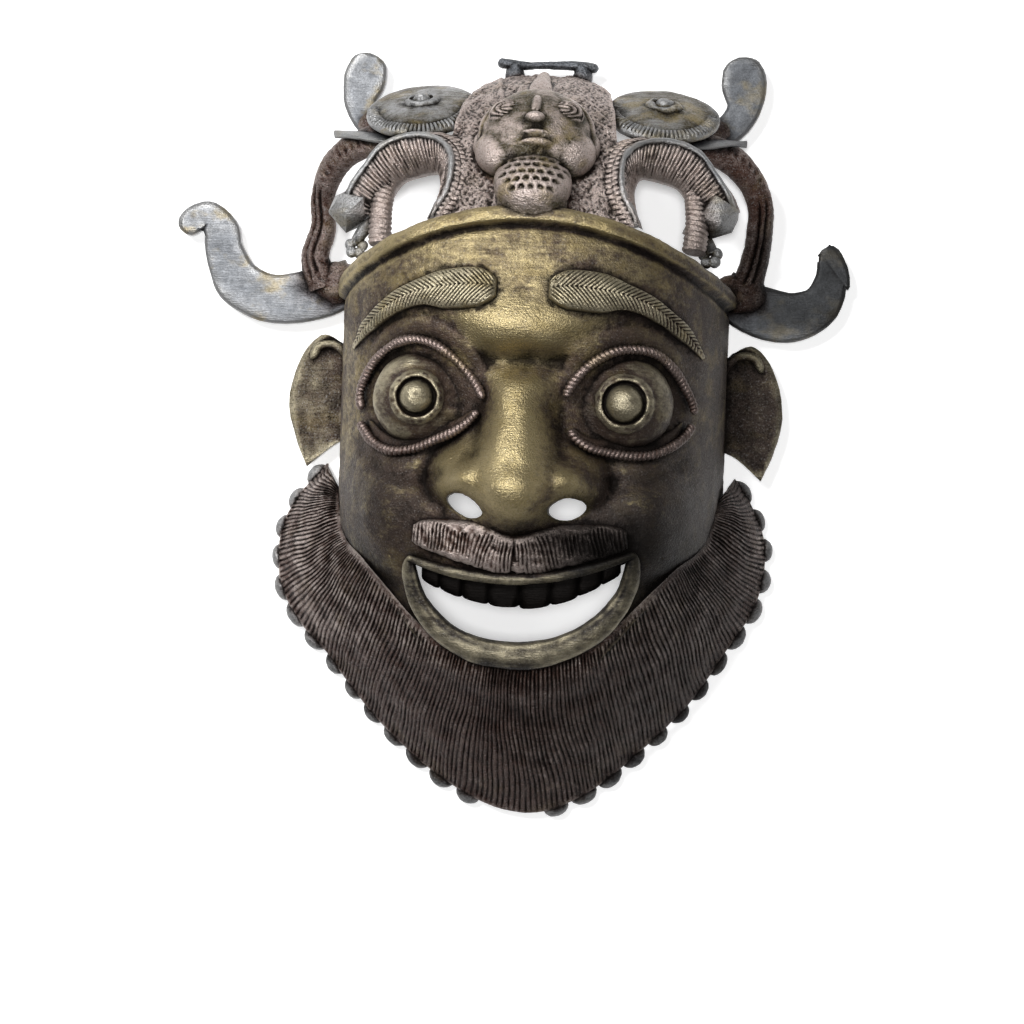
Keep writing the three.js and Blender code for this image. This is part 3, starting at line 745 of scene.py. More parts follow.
@dataclass
class Brow:
    """One brow: a thick pad cut with chevrons that point to the nose."""

    face: Face
    side: Side
    line: Points = ((12.2, 75.2), (25, 75.4), (36, 74.6), (46, 73.6), (57, 70.6), (69, 63.8), (79, 55.6),
                    (86.5, 47.2))
    half: Curve = through((0, 4.2), (0.04, 7.2), (0.12, 9.8), (0.3, 9.6), (0.44, 6.6), (0.6, 5), (0.8, 3.8),
                          (1, 0.8))
    rise: Curve = through((0, 3.4), (0.08, 5), (0.4, 4.4), (0.8, 2.8), (1, 0.8))
    stroke: float = 2.15
    spine: float = 0.12

    def build(self, casting: Casting) -> None:
        """Makes the pad."""
        route = Route([(x, y, 0.0) for x, y in self.line])
        upper = self.side.value

        def top(share: Array, t: Array, across: Array) -> Array:
            """Gives the pad steep sides, a plain rim and slanting strokes either side of a spine."""
            edge = (1 - np.abs(share) ** 7) ** 0.5
            along = t * route.length
            away = np.abs(share * upper - self.spine) * self.half(t)
            bite = groove((along - 0.95 * away) / self.stroke, 0.6)
            plain = np.maximum(ease(np.abs(share), 0.86, 0.93), ease(-along, -1.6, -0.6))
            cut = 0.95 * (1 - bite) * (1 - plain) + 0.5 * np.exp(-(away / 0.5) ** 2) * (1 - plain)
            return self.rise(t) * edge * rounded(t, 0.035) - cut * ease(self.rise(t), 0.6, 2)

        form = pad(self.face, mirrored(self.line, self.side), self.half, top, 46, 250)
        casting.add_to_shell(form, Region.BROW)


@dataclass
class Moustache:
    """One half of the moustache: a pad with deep upright grooves."""

    face: Face
    side: Side
    line: Points = ((0.2, -52), (9, -51), (20, -47.8), (33, -45.2), (45, -43.2), (53.5, -42.6))
    half: Curve = through((0, 8.5), (0.2, 9.6), (0.5, 9.6), (0.8, 7.8), (0.93, 6), (1, 4))
    right_share: float = 0.93  # the right half is a little shorter
    stroke: float = 1.95

    def build(self, casting: Casting) -> None:
        """Makes the pad."""
        length = Route([(x, y, 0.0) for x, y in self.line]).length

        def top(share: Array, t: Array, across: Array) -> Array:
            """Rounds the pad and cuts the grooves, each a little different from the next."""
            along = t * length
            flat = np.stack([along, across, np.zeros_like(along)], axis=-1)
            bite = groove((along + 0.35 * swell(flat, 14, 21)) / self.stroke, 0.7)
            number = np.floor(along / self.stroke)
            short = 0.8 + 0.2 * np.sin(number * 12.9)
            cut = 1.25 * (1 - bite) * ease(short - np.abs(share), 0, 0.2) * (0.7 + 0.3 * np.sin(number * 7.3))
            return 3.4 * (1 - np.abs(share) ** 5) ** 0.6 * rounded(t, 0.05) - cut + 0.3 * swell(flat, 4, 8)

        line = [(x * (self.right_share if self.side is Side.RIGHT else 1.0), y) for x, y in self.line]
        form = pad(self.face, mirrored(line, self.side), self.half, top, 30, 200)
        casting.add_to_shell(form, Region.MOUSTACHE)


@dataclass
class Mouth:
    """The open mouth: rounded lips, eight teeth, and the openings through the shell."""

    face: Face
    middle: float = 2.5
    corner: tuple[float, float] = (54.0, -52.0)
    tilt: float = 0.05
    upper_sag: float = 10.5
    lower_sag: float = 49.5
    lower_radius: float = 6.6
    upper_radius: float = 2.9
    tooth_edges: tuple[float, ...] = (0, 15, 28, 39, 48)
    tooth_length: float = 15.0
    tooth_thickness: float = 4.4
    tooth_set_back: float = 3.2
    nostril: tuple[float, float] = (24.5, -29.0)
    nostril_half: tuple[float, float] = (9.0, 5.4)
    cutter_height: float = 140.0  # middle of what cuts the openings

    def upper_line(self, x: Array) -> Array:
        """Returns the line of the upper lip."""
        across = x - self.middle
        return self.corner[1] + self.tilt * across - self.upper_sag * (1 - (across / self.corner[0]) ** 2)

    def lower_points(self, share: Array) -> Array:
        """Returns the [x, y] points of the lower lip."""
        angle = math.pi * share
        across = -self.corner[0] * np.cos(angle)
        sag = self.lower_sag * np.maximum(np.sin(angle), 0) ** 0.9
        return np.stack([self.middle + across, self.corner[1] + 1 + self.tilt * across - sag], axis=-1)

    def build(self, casting: Casting) -> None:
        """Cuts the openings and makes the lips and the teeth."""
        self.cut_openings(casting)
        share = np.linspace(0, 1, 17)
        lower = Route(self.face.lifted(self.lower_points(share).tolist(), 0.9))

        def lower_section(t: Array, angle: Array) -> tuple[Array, Array]:
            """Rounds the lip, with a thin rim along its inner edge."""
            r = self.lower_radius * (0.5 + 0.5 * np.sin(math.pi * t)) * rounded(t, 0.05)
            inner = np.exp(-((angle - 2.6) / 0.2) ** 2)
            dent = np.exp(-((angle - 2.25) / 0.22) ** 2)
            r = r * (1 + 0.07 * inner - 0.06 * dent)
            flat = np.sign(np.sin(angle)) * np.abs(np.sin(angle)) ** 0.75
            return r * np.cos(angle), 0.78 * r * flat

        casting.add(rod(lower, lower_section, self.face.up, 36, 150, even=True), Region.LIP)
        x = self.middle + np.linspace(-self.corner[0], self.corner[0], 13)
        upper = Route(self.face.lifted(np.column_stack([x, self.upper_line(x)]).tolist(), 1.0))

        def width(t: Array) -> Array:
            """Returns the half width of the upper lip along its way."""
            return self.upper_radius * (0.6 + 0.4 * np.sin(math.pi * t))

        casting.add(rod(upper, oval(width, width), self.face.up, 18, 90, even=True), Region.LIP)
        gum = Route(self.face.lifted(np.column_stack([x, self.upper_line(x) - 1.5]).tolist(), -5.5))
        casting.add(rod(gum, oval(level(4.6), level(2.2)), self.face.up, 14, 60, even=True), Region.TOOTH)
        z = float(self.face.height(np.array([0.0]), np.array([-57.0]))[0])
        knot = lump((3, -55, z), (6.5, 5.5, 3.8), fine=30,
                    carve=lambda p: p * (1 + 0.08 * swell(p, 0.5, 23))[:, None])
        casting.add(knot, Region.MOUSTACHE)
        self.build_teeth(casting)

    def build_teeth(self, casting: Casting) -> None:
        """Hangs four worn teeth on each side behind the upper lip."""
        for sign in (-1, 1):
            for i, (near, far) in enumerate(zip(self.tooth_edges, self.tooth_edges[1:])):
                skew = 0.5 * math.sin(7 * i + 2 * sign)

                def place(p: Array, near: float = near, far: float = far, skew: float = skew,
                          sign: int = sign) -> Array:
                    """Shapes one tooth, rounded at its free end."""
                    x = self.middle + sign * (near - 0.1 + (far - near + 0.2) * (p[:, 0] + 1) / 2)
                    top = self.upper_line(x)
                    down = (1 - p[:, 1]) / 2
                    drop = self.tooth_length * (1 - ((x - self.middle) / 72) ** 2) + skew - 1.2 * p[:, 0] ** 6
                    y = top + 3 - down * (drop + 3)
                    front = self.face.height(x, top) - self.tooth_set_back
                    front = front - 1.6 * p[:, 0] ** 6 - 0.9 * down ** 6 + 0.5 * skew
                    z = np.where(p[:, 2] > 0, front, front - self.tooth_thickness)
                    return np.stack([x, y, z], axis=-1)

                casting.add(slab(16, 14, place), Region.TOOTH)

    def cut_openings(self, casting: Casting) -> None:
        """Cuts the mouth and the nostrils straight through the shell."""
        def mouth(p: Array) -> Array:
            """Spans the block between the two lips."""
            share = (p[:, 0] + 1) / 2
            low = self.lower_points(share)
            low[:, 0] = self.middle + (low[:, 0] - self.middle) * 0.96
            high = self.upper_line(low[:, 0])
            y = low[:, 1] + (np.maximum(high, low[:, 1] + 0.4) - low[:, 1]) * (p[:, 1] + 1) / 2
            return np.stack([low[:, 0], y, self.cutter_height + 100 * p[:, 2]], axis=-1)

        casting.cut(slab(48, 6, mouth))
        half_x, half_y = self.nostril_half
        for side, slope in ((Side.RIGHT, -2.88), (Side.LEFT, 1.2)):
            def nostril(p: Array, sign: int = side.value, slope: float = slope) -> Array:
                """Makes the cutter oval and slants it."""
                x = sign * self.nostril[0] + p[:, 0] * half_x
                y = self.nostril[1] + p[:, 1] * half_y * (1 - 0.15 * p[:, 0] ** 2) + slope * p[:, 0]
                return np.stack([x, y, self.cutter_height + p[:, 2]], axis=-1)

            bm = bmesh.new()
            bmesh.ops.create_cone(bm, segments=28, radius1=1, radius2=1, depth=200, cap_ends=True)
            casting.cut(closed(shape(bm, nostril)))


@dataclass
class Ear:
    """One leaf-shaped ear with a rolled edge."""

    side: Side
    inner: Points = ((99, 52), (94, 46), (93, 30), (93, 15), (94, 6), (104, 0), (116, -10))
    outer: Points = ((101, 53.5), (110, 57.5), (119, 50), (125, 36), (127, 20), (123, 3), (117, -11))
    curl: Points = ((95, 40, 13.4), (98, 47, 13.8), (105, 52, 13.6), (112, 51, 13.2), (116, 44, 12.8))
    lift: float = 8.0
    thickness: float = 4.5

    def build(self, casting: Casting) -> None:
        """Makes the leaf and the curl at its top."""
        near, far = (Route([(x, y, 0.0) for x, y in line]) for line in (self.inner, self.outer))

        def place(p: Array) -> Array:
            """Bends the block between the inner and the outer edge."""
            t, share = (1 - p[:, 1]) / 2, (p[:, 0] + 1) / 2
            at = near.at(t) + (far.at(t) - near.at(t)) * share[:, None]
            edge = np.minimum(1 - share, np.minimum(t, 1 - t) * 2.2)
            rim = 0.5 * np.exp(-((edge - 0.1) / 0.08) ** 2) - 1.1 * ease(0.07 - edge, 0, 0.07)
            front = self.lift + self.thickness - 0.4 + rim - 0.9 * hill(share, t, (0.4, 0.5), 0.3, 0.3, 1)
            z = np.where(p[:, 2] > 0, front + 0.25 * swell(at, 12, 31), self.lift)
            return np.stack([self.side.value * at[:, 0], at[:, 1], z], axis=-1)

        casting.add(slab(44, 56, place), Region.EAR)
        section = oval(lambda t: 2.3 * rounded(t, 0.15), lambda t: 2.1 * rounded(t, 0.15))
        curl = Route(mirrored(self.curl, self.side))
        casting.add(rod(curl, section, facing(0, 0, 1), 14, 44), Region.EAR)


# The beard

@dataclass
class Beard:
    """The flared beard with its radial grooves and its rim of beads."""

    face: Face
    rim: Points = (
        (-107, -9), (-124, -30), (-131, -50), (-129, -73), (-119, -92), (-104, -108), (-82, -135),
        (-56, -160), (-27, -179), (5, -187), (33, -176), (60, -153), (84, -128), (103, -99), (116, -77),
        (121, -58), (120, -40), (114, -25), (104, -10))
    root_x: Curve = through((0, -96), (0.12, -91), (0.27, -66), (0.5, 0), (0.73, 66), (0.88, 91), (1, 96))
    thickness: float = 4.2
    crowning: float = 6.0
    flat_length: float = 420.0
    flat_width: float = 70.0
    grooves: int = 178
    groove_depth: float = 2.5
    beads: int = 30
    bead_radii: tuple[float, float, float] = (6.8, 5.3, 4.2)

    def __post_init__(self) -> None:
        """Keeps the rim as a smooth line."""
        self.line = Route([(x, y, 4.0) for x, y in self.rim])

    def at(self, along: Array, out: Array) -> Array:
        """Returns places on the middle sheet of the beard."""
        x = self.root_x(along)
        middle = 1 - ease(np.abs(x), 22, 62)
        y = self.face.jaw_line(x) + 6 + 8 * middle
        root = np.stack([x, y, self.face.height(x, y) - 1.4], axis=-1)
        at = root + (self.line.at(along, even=True) - root) * out[:, None]
        at[:, 2] += self.crowning * np.sin(math.pi * out) + 6.5 * middle * np.exp(-((out - 0.16) / 0.13) ** 2)
        return at

    def build(self, casting: Casting) -> None:
        """Makes the grooved sheet and the beads."""
        def place(p: Array) -> Array:
            """Bends the block over the beard and cuts its grooves."""
            along, out = (p[:, 0] + 1) / 2, (p[:, 1] + 1) / 2 * 0.985
            at = self.at(along, out)
            flat = np.stack([along * self.flat_length, out * self.flat_width, np.zeros_like(out)], axis=-1)
            drift = 0.8 * swell(flat, 60, 41) + 0.22 * swell(flat, 22, 42)
            phase = along * self.grooves + drift
            number = np.floor(phase)
            bite = groove(phase, 0.62)
            dash = np.sin(out * self.flat_width / (11 + 3 * np.sin(number * 5.1)) * 2 + number * 2.4)
            depth = self.groove_depth + 0.5 * dash
            edges = ease(out, 0.02, 0.09) * (1 - ease(out, 0.94, 0.985))
            tier = (0.26 * np.sin(number * 3.7 + 1.3)
                    + 0.16 * np.sin(out * 46 + number * 1.9 + 2 * np.sin(number)))
            top = self.thickness / 2 + 0.35 + (tier - depth * (1 - bite)) * edges
            top += 0.15 * swell(at, 6, 45) * edges - 1.0 * (1 - ease(out, 0.0, 0.07))
            low = -np.minimum(self.thickness / 2, at[:, 2] - 0.02)
            at[:, 2] += np.where(p[:, 2] > 0, top, low)
            return at

        casting.add(slab(self.grooves * 6, 66, place), Region.BEARD)
        share = (np.arange(self.beads) + 0.5) / self.beads
        middles, headings = self.line.at(share, even=True), self.line.heading(share, even=True)
        for i, (at, heading) in enumerate(zip(middles, headings)):
            if abs(share[i] - 0.5) < 0.045:
                continue
            turn = Matrix.Rotation(math.atan2(heading[1], heading[0]), 4, "Z")
            inward = Vector((-heading[1], heading[0], 0))
            size = [r * (1 + 0.09 * math.sin(i * 5.3 + k)) for k, r in enumerate(self.bead_radii)]
            bm = bmesh.new()
            bmesh.ops.create_uvsphere(bm, u_segments=20, v_segments=12, radius=1.0)
            seat = Matrix.Translation(Vector((at[0], at[1], 4.2)) + inward * 1.6)
            bmesh.ops.transform(bm, verts=bm.verts[:], matrix=seat @ turn @ Matrix.Diagonal((*size, 1)))
            casting.add(closed(bm), Region.BEAD)


# The headdress

@dataclass
class Cap:
    """The stippled cap that leans back behind the headband."""

    root_y: float = 100.0
    reach: float = 88.0
    height: float = 88.0
    half_width: float = 47.0
    top_half_width: float = 32.0
    face_half_width: float = 98.0
    wall: float = 4.0

    def at(self, s: Array, lean: Array, lift: Array | float = 0.0) -> Array:
        """Returns places on the cap: s runs across, lean is how far it has leant back."""
        back = lean / (math.pi / 2)
        x = s * (self.half_width + (self.top_half_width - self.half_width) * back)
        round_off = (1 - (np.abs(x) / self.face_half_width) ** 2.5) ** 0.4
        reach = (self.reach + lift + 5.5 * back ** 4) * np.sin(lean) * (1 - 0.1 * s ** 4 * back * back)
        height = 10 + (self.height + lift) * np.cos(lean) * round_off
        return np.stack([x, self.root_y + reach, height], axis=-1)

    def on(self, lean: float, across: float, up: float, out: float) -> tuple[float, float, float]:
        """Returns a place given across the cap, up its slope and out of it."""
        at = self.at(np.zeros(1), np.array([lean]))[0]
        c, s = math.cos(lean), math.sin(lean)
        return (float(at[0] + across), float(at[1] + up * c + out * s), float(at[2] - up * s + out * c))

    def build(self, casting: Casting) -> None:
        """Makes the cap with its pits and its raised seam, and the ridge above the small head."""
        start, end = math.radians(8), math.radians(88)

        def place(p: Array) -> Array:
            """Bends the block over the cap."""
            lean = start + (end - start) * (p[:, 1] + 1) / 2
            plain = self.at(p[:, 0], lean)
            rough = 0.3 * np.clip(swell(plain, 2.0, 51, 24), -1.4, 0.8) + 0.45 * swell(plain, 11, 52)
            seam = 1.1 * np.exp(-((plain[:, 0] + 19 - 4 * np.sin(lean * 3)) / 1.1) ** 2)
            lift = np.where(p[:, 2] > 0, rough + seam, -self.wall)
            return self.at(p[:, 0], lean, lift)

        casting.add(slab(136, 140, place), Region.CAP)
        ridge = Route([self.on(math.radians(degrees), across, 0, out)
                       for degrees, across, out in ((56, 1, -2), (68, 0, -1), (82, 0, -1.5))])
        section = oval(lambda t: 8 - 4.5 * t, level(4))
        casting.add(rod(ridge, section, facing(0, 0.7, 0.7), 20, 24), Region.CAP)


@dataclass
class SmallHead:
    """The small bearded head on the front of the cap."""

    cap: Cap
    lean: float = math.radians(30)
    shift: float = 2.0
    wall: float = 3.2
    hairline: Points = ((-27, 2, 4), (-25.5, 13, 7), (-17, 23, 9), (0, 28, 10), (17, 23, 9), (25.5, 13, 7),
                        (27, 2, 4))

    def mound(self, across: float, up: float, out: float, radii: Sequence[float], fine: int = 24,
              carve: Place | None = None) -> Form:
        """Returns one lump of the head, placed on the slope of the cap."""
        return lump(self.cap.on(self.lean, self.shift + across, up, out), radii, self.lean, fine, carve)

    def build(self, casting: Casting) -> None:
        """Makes the head from lumps and hollows it behind."""
        parts = [self.mound(0, 7, 0.5, (28, 27, 21.5), 48), self.mound(0, 17, 6.5, (23, 13, 12.5), 44),
                 self.mound(0, 4.8, 19.5, (5.6, 3.4, 5.4)), self.mound(0, 11.5, 17, (4, 9.5, 6.4))]
        for sign in (-1, 1):
            parts += [self.mound(sign * 4.6, 4.0, 17.4, (3.2, 2.6, 4), 18),
                      self.mound(sign * 14.5, -3, 3.6, (15, 13.5, 11.6), 44),
                      self.mound(sign * 12.6, 12.2, 13.8, (10.6, 7.8, 6.4), 72, self.carve_eye),
                      self.mound(sign * 27, 3, 1, (4, 7.5, 5.4), carve=self.carve_ear)]
        parts += [self.mound(0.6, -2.4, 15.6, (9.6, 2.2, 6), 32),
                  self.mound(0.6, -7.2, 15.0, (9.2, 2.4, 5.8), 32),
                  self.mound(0.6, -4.0, 13.4, (9.4, 5.4, 5.4)),
                  self.mound(0, -23, 5, (19, 17, 13), 96, self.punch),
                  self.mound(0, -31, 1, (17, 11, 12), 40)]
        line = Route([self.cap.on(self.lean, self.shift + across, up, out)
                      for across, up, out in self.hairline])
        out_of_cap = facing(0, math.sin(self.lean), math.cos(self.lean))
        parts.append(rod(line, oval(level(2.0), level(1.8)), out_of_cap, 14, 70, even=True))

        def inside(p: Array) -> Array:
            """Bends the block to the inner side of the cap."""
            lift = np.where(p[:, 2] > 0, -self.wall, -60.0)
            return self.cap.at(p[:, 0] * 1.02, self.lean + p[:, 1] * 0.6, lift)

        cutter = casting.hold(slab(8, 8, inside), Region.INSIDE)
        first, *rest = [casting.hold(part, Region.SMALL_HEAD) for part in parts]
        head = casting.combine(first, rest, "UNION")
        casting.fittings.append(casting.combine(head, [cutter], "DIFFERENCE"))

    @staticmethod
    def carve_ear(p: Array) -> Array:
        """Dents the middle of a lump one unit in radius."""
        return p * (1 - 0.3 * np.exp(-((p[:, 0] ** 2 + p[:, 1] ** 2) / 0.12)) * (p[:, 2] > 0))[:, None]

    @staticmethod
    def carve_eye(p: Array) -> Array:
        """Cuts the ring of the lids and the slit into a lump one unit in radius."""
        r = np.hypot(p[:, 0] * 0.9, p[:, 1] * 1.45)
        dent = sum(0.12 * np.exp(-((r - ring) / 0.07) ** 2) for ring in (0.45, 0.7, 0.93))
        dent += 0.1 * np.exp(-(p[:, 1] / 0.08) ** 2) * (r < 0.4)
        return p * (1 - dent * (p[:, 2] > 0))[:, None]

    @staticmethod
    def punch(p: Array) -> Array:
        """Punches rows of crescent dimples into a lump one unit in radius."""
        dent = np.zeros(len(p))
        for row in range(-2, 4):
            for column in range(-3, 4):
                x = column * 0.25 + 0.125 * (row % 2)
                y = row * 0.24 - 0.06
                if x * x + y * y < 0.8:
                    r = np.hypot(p[:, 0] - x, (p[:, 1] - y) * 1.2)
                    crescent = 0.5 + 0.5 * np.tanh((p[:, 1] - y) * 30 + 1)
                    dent += 0.1 * np.exp(-((r - 0.05) / 0.035) ** 2) * crescent
        return p * (1 - dent * (p[:, 2] > 0))[:, None]


@dataclass
class Disc:
    """One domed disc that leans back, with a boss and a hatched near rim."""

    side: Side
    radius: float = 28.5
    thickness: float = 4.0
    crown: float = 4.0
    boss: float = 6.0
    at: tuple[float, float, float] = (60.5, 170.0, 47.0)
    tilt: float = 57.0
    droop: float = 12.0
    strokes: int = 76

    def build(self, casting: Casting) -> None:
        """Makes the disc and its boss."""
        r, t, c = self.radius, self.thickness, self.crown
        profile = [(0.01, c), (self.boss, c - 0.1), (r * 0.5, c * 0.82), (r - 8, 1.9), (r - 4.5, 1.2),
                   (r - 1.8, 0.6), (r - 0.5, -0.2), (r, -t / 2), (r - 1.6, -t), (0.01, -t)]
        sign = self.side.value
        turn = np.array(Matrix.Rotation(math.radians(sign * 8), 3, "Y")
                        @ Matrix.Rotation(math.radians(-self.tilt), 3, "X")
                        @ Matrix.Rotation(math.radians(-sign * self.droop), 3, "Z"))
        middle = np.array([sign * self.at[0] + 1.5, *self.at[1:]])

        def stand(p: Array) -> Array:
            """Leans the disc back and puts it in place."""
            return p @ turn.T + middle

        def finish(p: Array) -> Array:
            """Cuts the strokes into the near part of the rim."""
            angle = np.arctan2(p[:, 1], p[:, 0])
            radius = np.hypot(p[:, 0], p[:, 1])
            band = ease(radius, r - 6.8, r - 5.6) * (1 - ease(radius, r - 1.2, r - 0.2)) * (p[:, 2] > 0)
            near = ease(-np.sin(angle) + 0.15 * np.cos(angle) * sign, -0.15, 0.2)
            bite = groove(angle / (2 * math.pi) * self.strokes, 0.7)
            p = p.copy()
            step = 0.9 * ease(radius, r - 6.8, r - 6.0) - 0.5 * np.exp(-((radius - r + 7.2) / 0.6) ** 2)
            p[:, 2] += 0.3 * swell(p, 16, 61 + sign) + (p[:, 2] > 0) * near * (step - 1.5 * (1 - bite) * band)
            return stand(p)

        casting.add(turned(profile, self.strokes * 5, 44, finish), Region.DISC)
        boss = [(0.01, c + 4.2), (2.0, c + 3.9), (3.2, c + 2.2), (3.8, c + 1.0), (4.6, c + 1.9),
                (5.6, c + 2.0), (6.6, c + 1.0), (7.4, c - 1.0), (0.01, c - 2)]

        def finish_boss(p: Array) -> Array:
            """Makes the boss oval and uneven."""
            rough = 0.5 * swell(p, 5, 66 + sign)[:, None] * (0.3, 0.3, 1.0)
            return stand(p * np.array([1.3, 0.85, 1.0]) + rough)

        casting.add(turned(boss, 48, 40, finish_boss), Region.DISC)


@dataclass
class Beast:
    """A beast bent into an arch over the headband, with its head hanging outside it."""

    side: Side
    body: Points = (
        (42, 108, 88), (36, 119, 83), (34, 131, 76), (40, 142, 67), (53, 147, 60), (65, 144, 57),
        (74, 133, 59), (76, 117, 65), (75, 99, 70))
    girth: Curve = through((0, 4), (0.12, 8.5), (0.3, 10.5), (0.5, 10.5), (0.65, 9.5), (0.85, 6.5), (1, 6.5))
    cord: Points = (
        (94, 119, 64), (90, 129, 66), (84, 138, 67), (77, 147, 68), (67, 152, 70), (56, 153, 73),
        (46, 150, 78), (40, 143, 84), (39, 134, 89), (41, 123, 93), (46, 114, 95), (48, 109, 95))
    hole: Points = (
        (77, 111, 60), (71, 124, 61), (66, 131, 62), (62, 133, 63), (58, 134, 64), (53, 135, 66),
        (48, 135, 70), (46, 132, 76), (45, 127, 81), (46, 120, 86), (48, 113, 90), (50, 108, 92))
    outer: Points = (
        (46, 155, 71), (36, 152, 76), (29, 145, 79), (25.5, 136, 82), (25.5, 127, 85), (29, 118, 87),
        (34, 111, 89), (38, 107, 90))
    rib: float = 2.2
    left_shift: float = 5.0

    def lay(self, points: Points) -> Route:
        """Returns a route on this side of the mask."""
        by = self.left_shift if self.side is Side.LEFT else 0.0
        return Route(mirrored([(p[0] + by, *p[1:]) for p in points], self.side))

    def build(self, casting: Casting) -> None:
        """Makes the body with its ribbed front, cord and scales, the neck, the head and the paw."""
        sign = self.side.value
        ahead = facing(0, 0, 1)
        core = self.lay(self.body)

        def section(t: Array, angle: Array) -> tuple[Array, Array]:
            """Cuts slanting ribs into an oval body."""
            bite = groove(t * core.length / self.rib + 0.3 * np.cos(angle), 0.7)
            r = self.girth(t) * 0.95 - 1.1 * (1 - bite)
            return r * np.cos(angle), 0.85 * r * np.sin(angle)

        steps = int(core.length / self.rib * 5)
        casting.add(rod(core, section, facing(sign * 0.25, 0.45, 0.85), 30, steps), Region.ARCH)
        cord, hole, outer = self.lay(self.cord), self.lay(self.hole), self.lay(self.outer)
        ribs = cord.length / self.rib

        def ribbed(share: Array, t: Array) -> Array:
            """Rounds the front and cuts ribs across it."""
            bite = groove(t * ribs + 0.12 * np.sin(share * 5), 0.7)
            wave = 0.25 * np.sin(share * 9 + np.floor(t * ribs) * 1.9)
            swollen = np.sin(math.pi * share)
            return 4.5 * swollen ** 0.7 - 1.2 * (1 - bite) * swollen ** 0.3 + wave

        casting.add(ribbon(cord, hole, ribbed, 9, 22, int(ribs * 6)), Region.ARCH)
        twisted = oval(lambda t: 1.7 + 0.12 * np.sin(t * 90), level(1.9))
        casting.add(rod(cord, twisted, ahead, 12, 150, even=True), Region.CORD)
        rows = outer.length / 3.0

        def scales(share: Array, t: Array) -> Array:
            """Cuts three columns of short scales, each set half a scale from the next."""
            column = np.floor(share * 3)
            bite = np.minimum(groove(t * rows + 0.5 * (column % 2), 0.5), groove(share * 3, 0.5))
            return 3.4 * np.sin(math.pi * share) ** 0.6 - 1.3 * (1 - bite)

        inner = Route(cord.at(np.linspace(0.47, 1, 9), even=True))
        casting.add(ribbon(inner, outer, scales, 9, 26, int(rows * 7)), Region.ARCH)
        neck = self.lay([(70, 143, 59), (79, 136, 60), (88, 126, 60), (92, 118, 60)])
        casting.add(rod(neck, oval(lambda t: 6.6 - t, level(5.6)), ahead, 14, 20), Region.STRUT)
        self.build_head(casting, sign)
        paw = Route(mirrored([(76, 112, 66), (84, 107, 63), (88, 101, 61.5)], self.side))
        casting.add(rod(paw, oval(lambda t: 4 - t, lambda t: 3.2 - t), ahead, 12, 14), Region.BEAST_HEAD)
        for k in range(5):
            turn = 2 * math.pi * k / 5 + 0.4
            toe = (sign * (88 + 3.3 * math.cos(turn)), 98 + 3.3 * math.sin(turn), 61.5 + 0.3 * k)
            casting.add(lump(toe, (2.9, 2.9, 1.7), fine=18), Region.BEAST_HEAD)

    def build_head(self, casting: Casting, sign: int) -> None:
        """Makes the faceted head with its blunt edges."""
        bm = bmesh.new()
        bmesh.ops.create_icosphere(bm, subdivisions=1, radius=1.0)
        shape(bm, lambda p: p * (1 + 0.22 * swell(p, 1.6, 71 + sign))[:, None])
        bmesh.ops.bevel(bm, geom=bm.edges[:] + bm.verts[:], offset=0.035, affect="EDGES", segments=2,
                        profile=0.5, material=-1)
        turn = Matrix.Rotation(0.5 * sign, 4, "Z") @ Matrix.Rotation(0.35, 4, "X")
        seat = Matrix.Translation((sign * 91, 117, 61)) @ turn @ Matrix.Diagonal((12.6, 11.8, 10.5, 1))
        bmesh.ops.transform(bm, verts=bm.verts[:], matrix=seat)
        casting.add(closed(bm), Region.BEAST_HEAD)


@dataclass
class Strut:
    """A leg from the end of the headband to the underside of the disc, and a pointed blade."""

    side: Side
    foot_x: float = 104.0
    right_shift: float = 7.0
    girth: Curve = through((0, 9), (0.15, 7.5), (0.4, 6.5), (0.6, 7.5), (1, 8))

    def build(self, casting: Casting) -> None:
        """Makes the leg, its heel and the blade."""
        sign = self.side.value
        foot = self.foot_x + (self.right_shift if self.side is Side.RIGHT else 0)
        leg = Route(mirrored([(foot, 82, 10), (foot + 5, 96, 12), (112, 112, 15), (112, 128, 20),
                              (106, 141, 28), (95, 150, 37), (82, 154, 44), (72, 155, 47)], self.side))

        def section(t: Array, angle: Array) -> tuple[Array, Array]:
            """Gives the leg two grooved strips below and punched dimples above."""
            g = self.girth(t)
            front = ease(np.sin(angle), 0.0, 0.5)
            strips = 2.4 * np.exp(-((np.abs(np.cos(angle) + 0.1) - 0.3) / 0.1) ** 2)
            strips = strips * (1 - ease(t, 0.42, 0.5)) * ease(t, 0.04, 0.1)
            dimple = np.exp(-((np.mod(t * 26, 1) - 0.5) / 0.2) ** 2 - ((np.cos(angle) - 0.25) / 0.22) ** 2)
            r = g - (strips + 1.0 * dimple * ease(t, 0.45, 0.55)) * front
            return r * np.cos(angle), 0.8 * r * np.sin(angle)

        casting.add(rod(leg, section, facing(sign * 0.3, 0.2, 1), 48, 130), Region.STRUT)
        heel = lump((sign * 103, 84, 10.5), (14, 11, 7.5), fine=30,
                    carve=lambda p: p * (1 + 0.07 * swell(p, 0.9, 77 + sign))[:, None])
        casting.add(heel, Region.STRUT)
        blade = Route(mirrored([(66, 152, 56), (80, 154, 52), (92, 156, 46), (104, 157, 39)], self.side))
        pointed = oval(through((0, 6.5), (0.6, 5.6), (1, 0.7)), level(1.9))
        casting.add(rod(blade, pointed, facing(0, 1, 0.35), 12, 30), Region.BLADE)


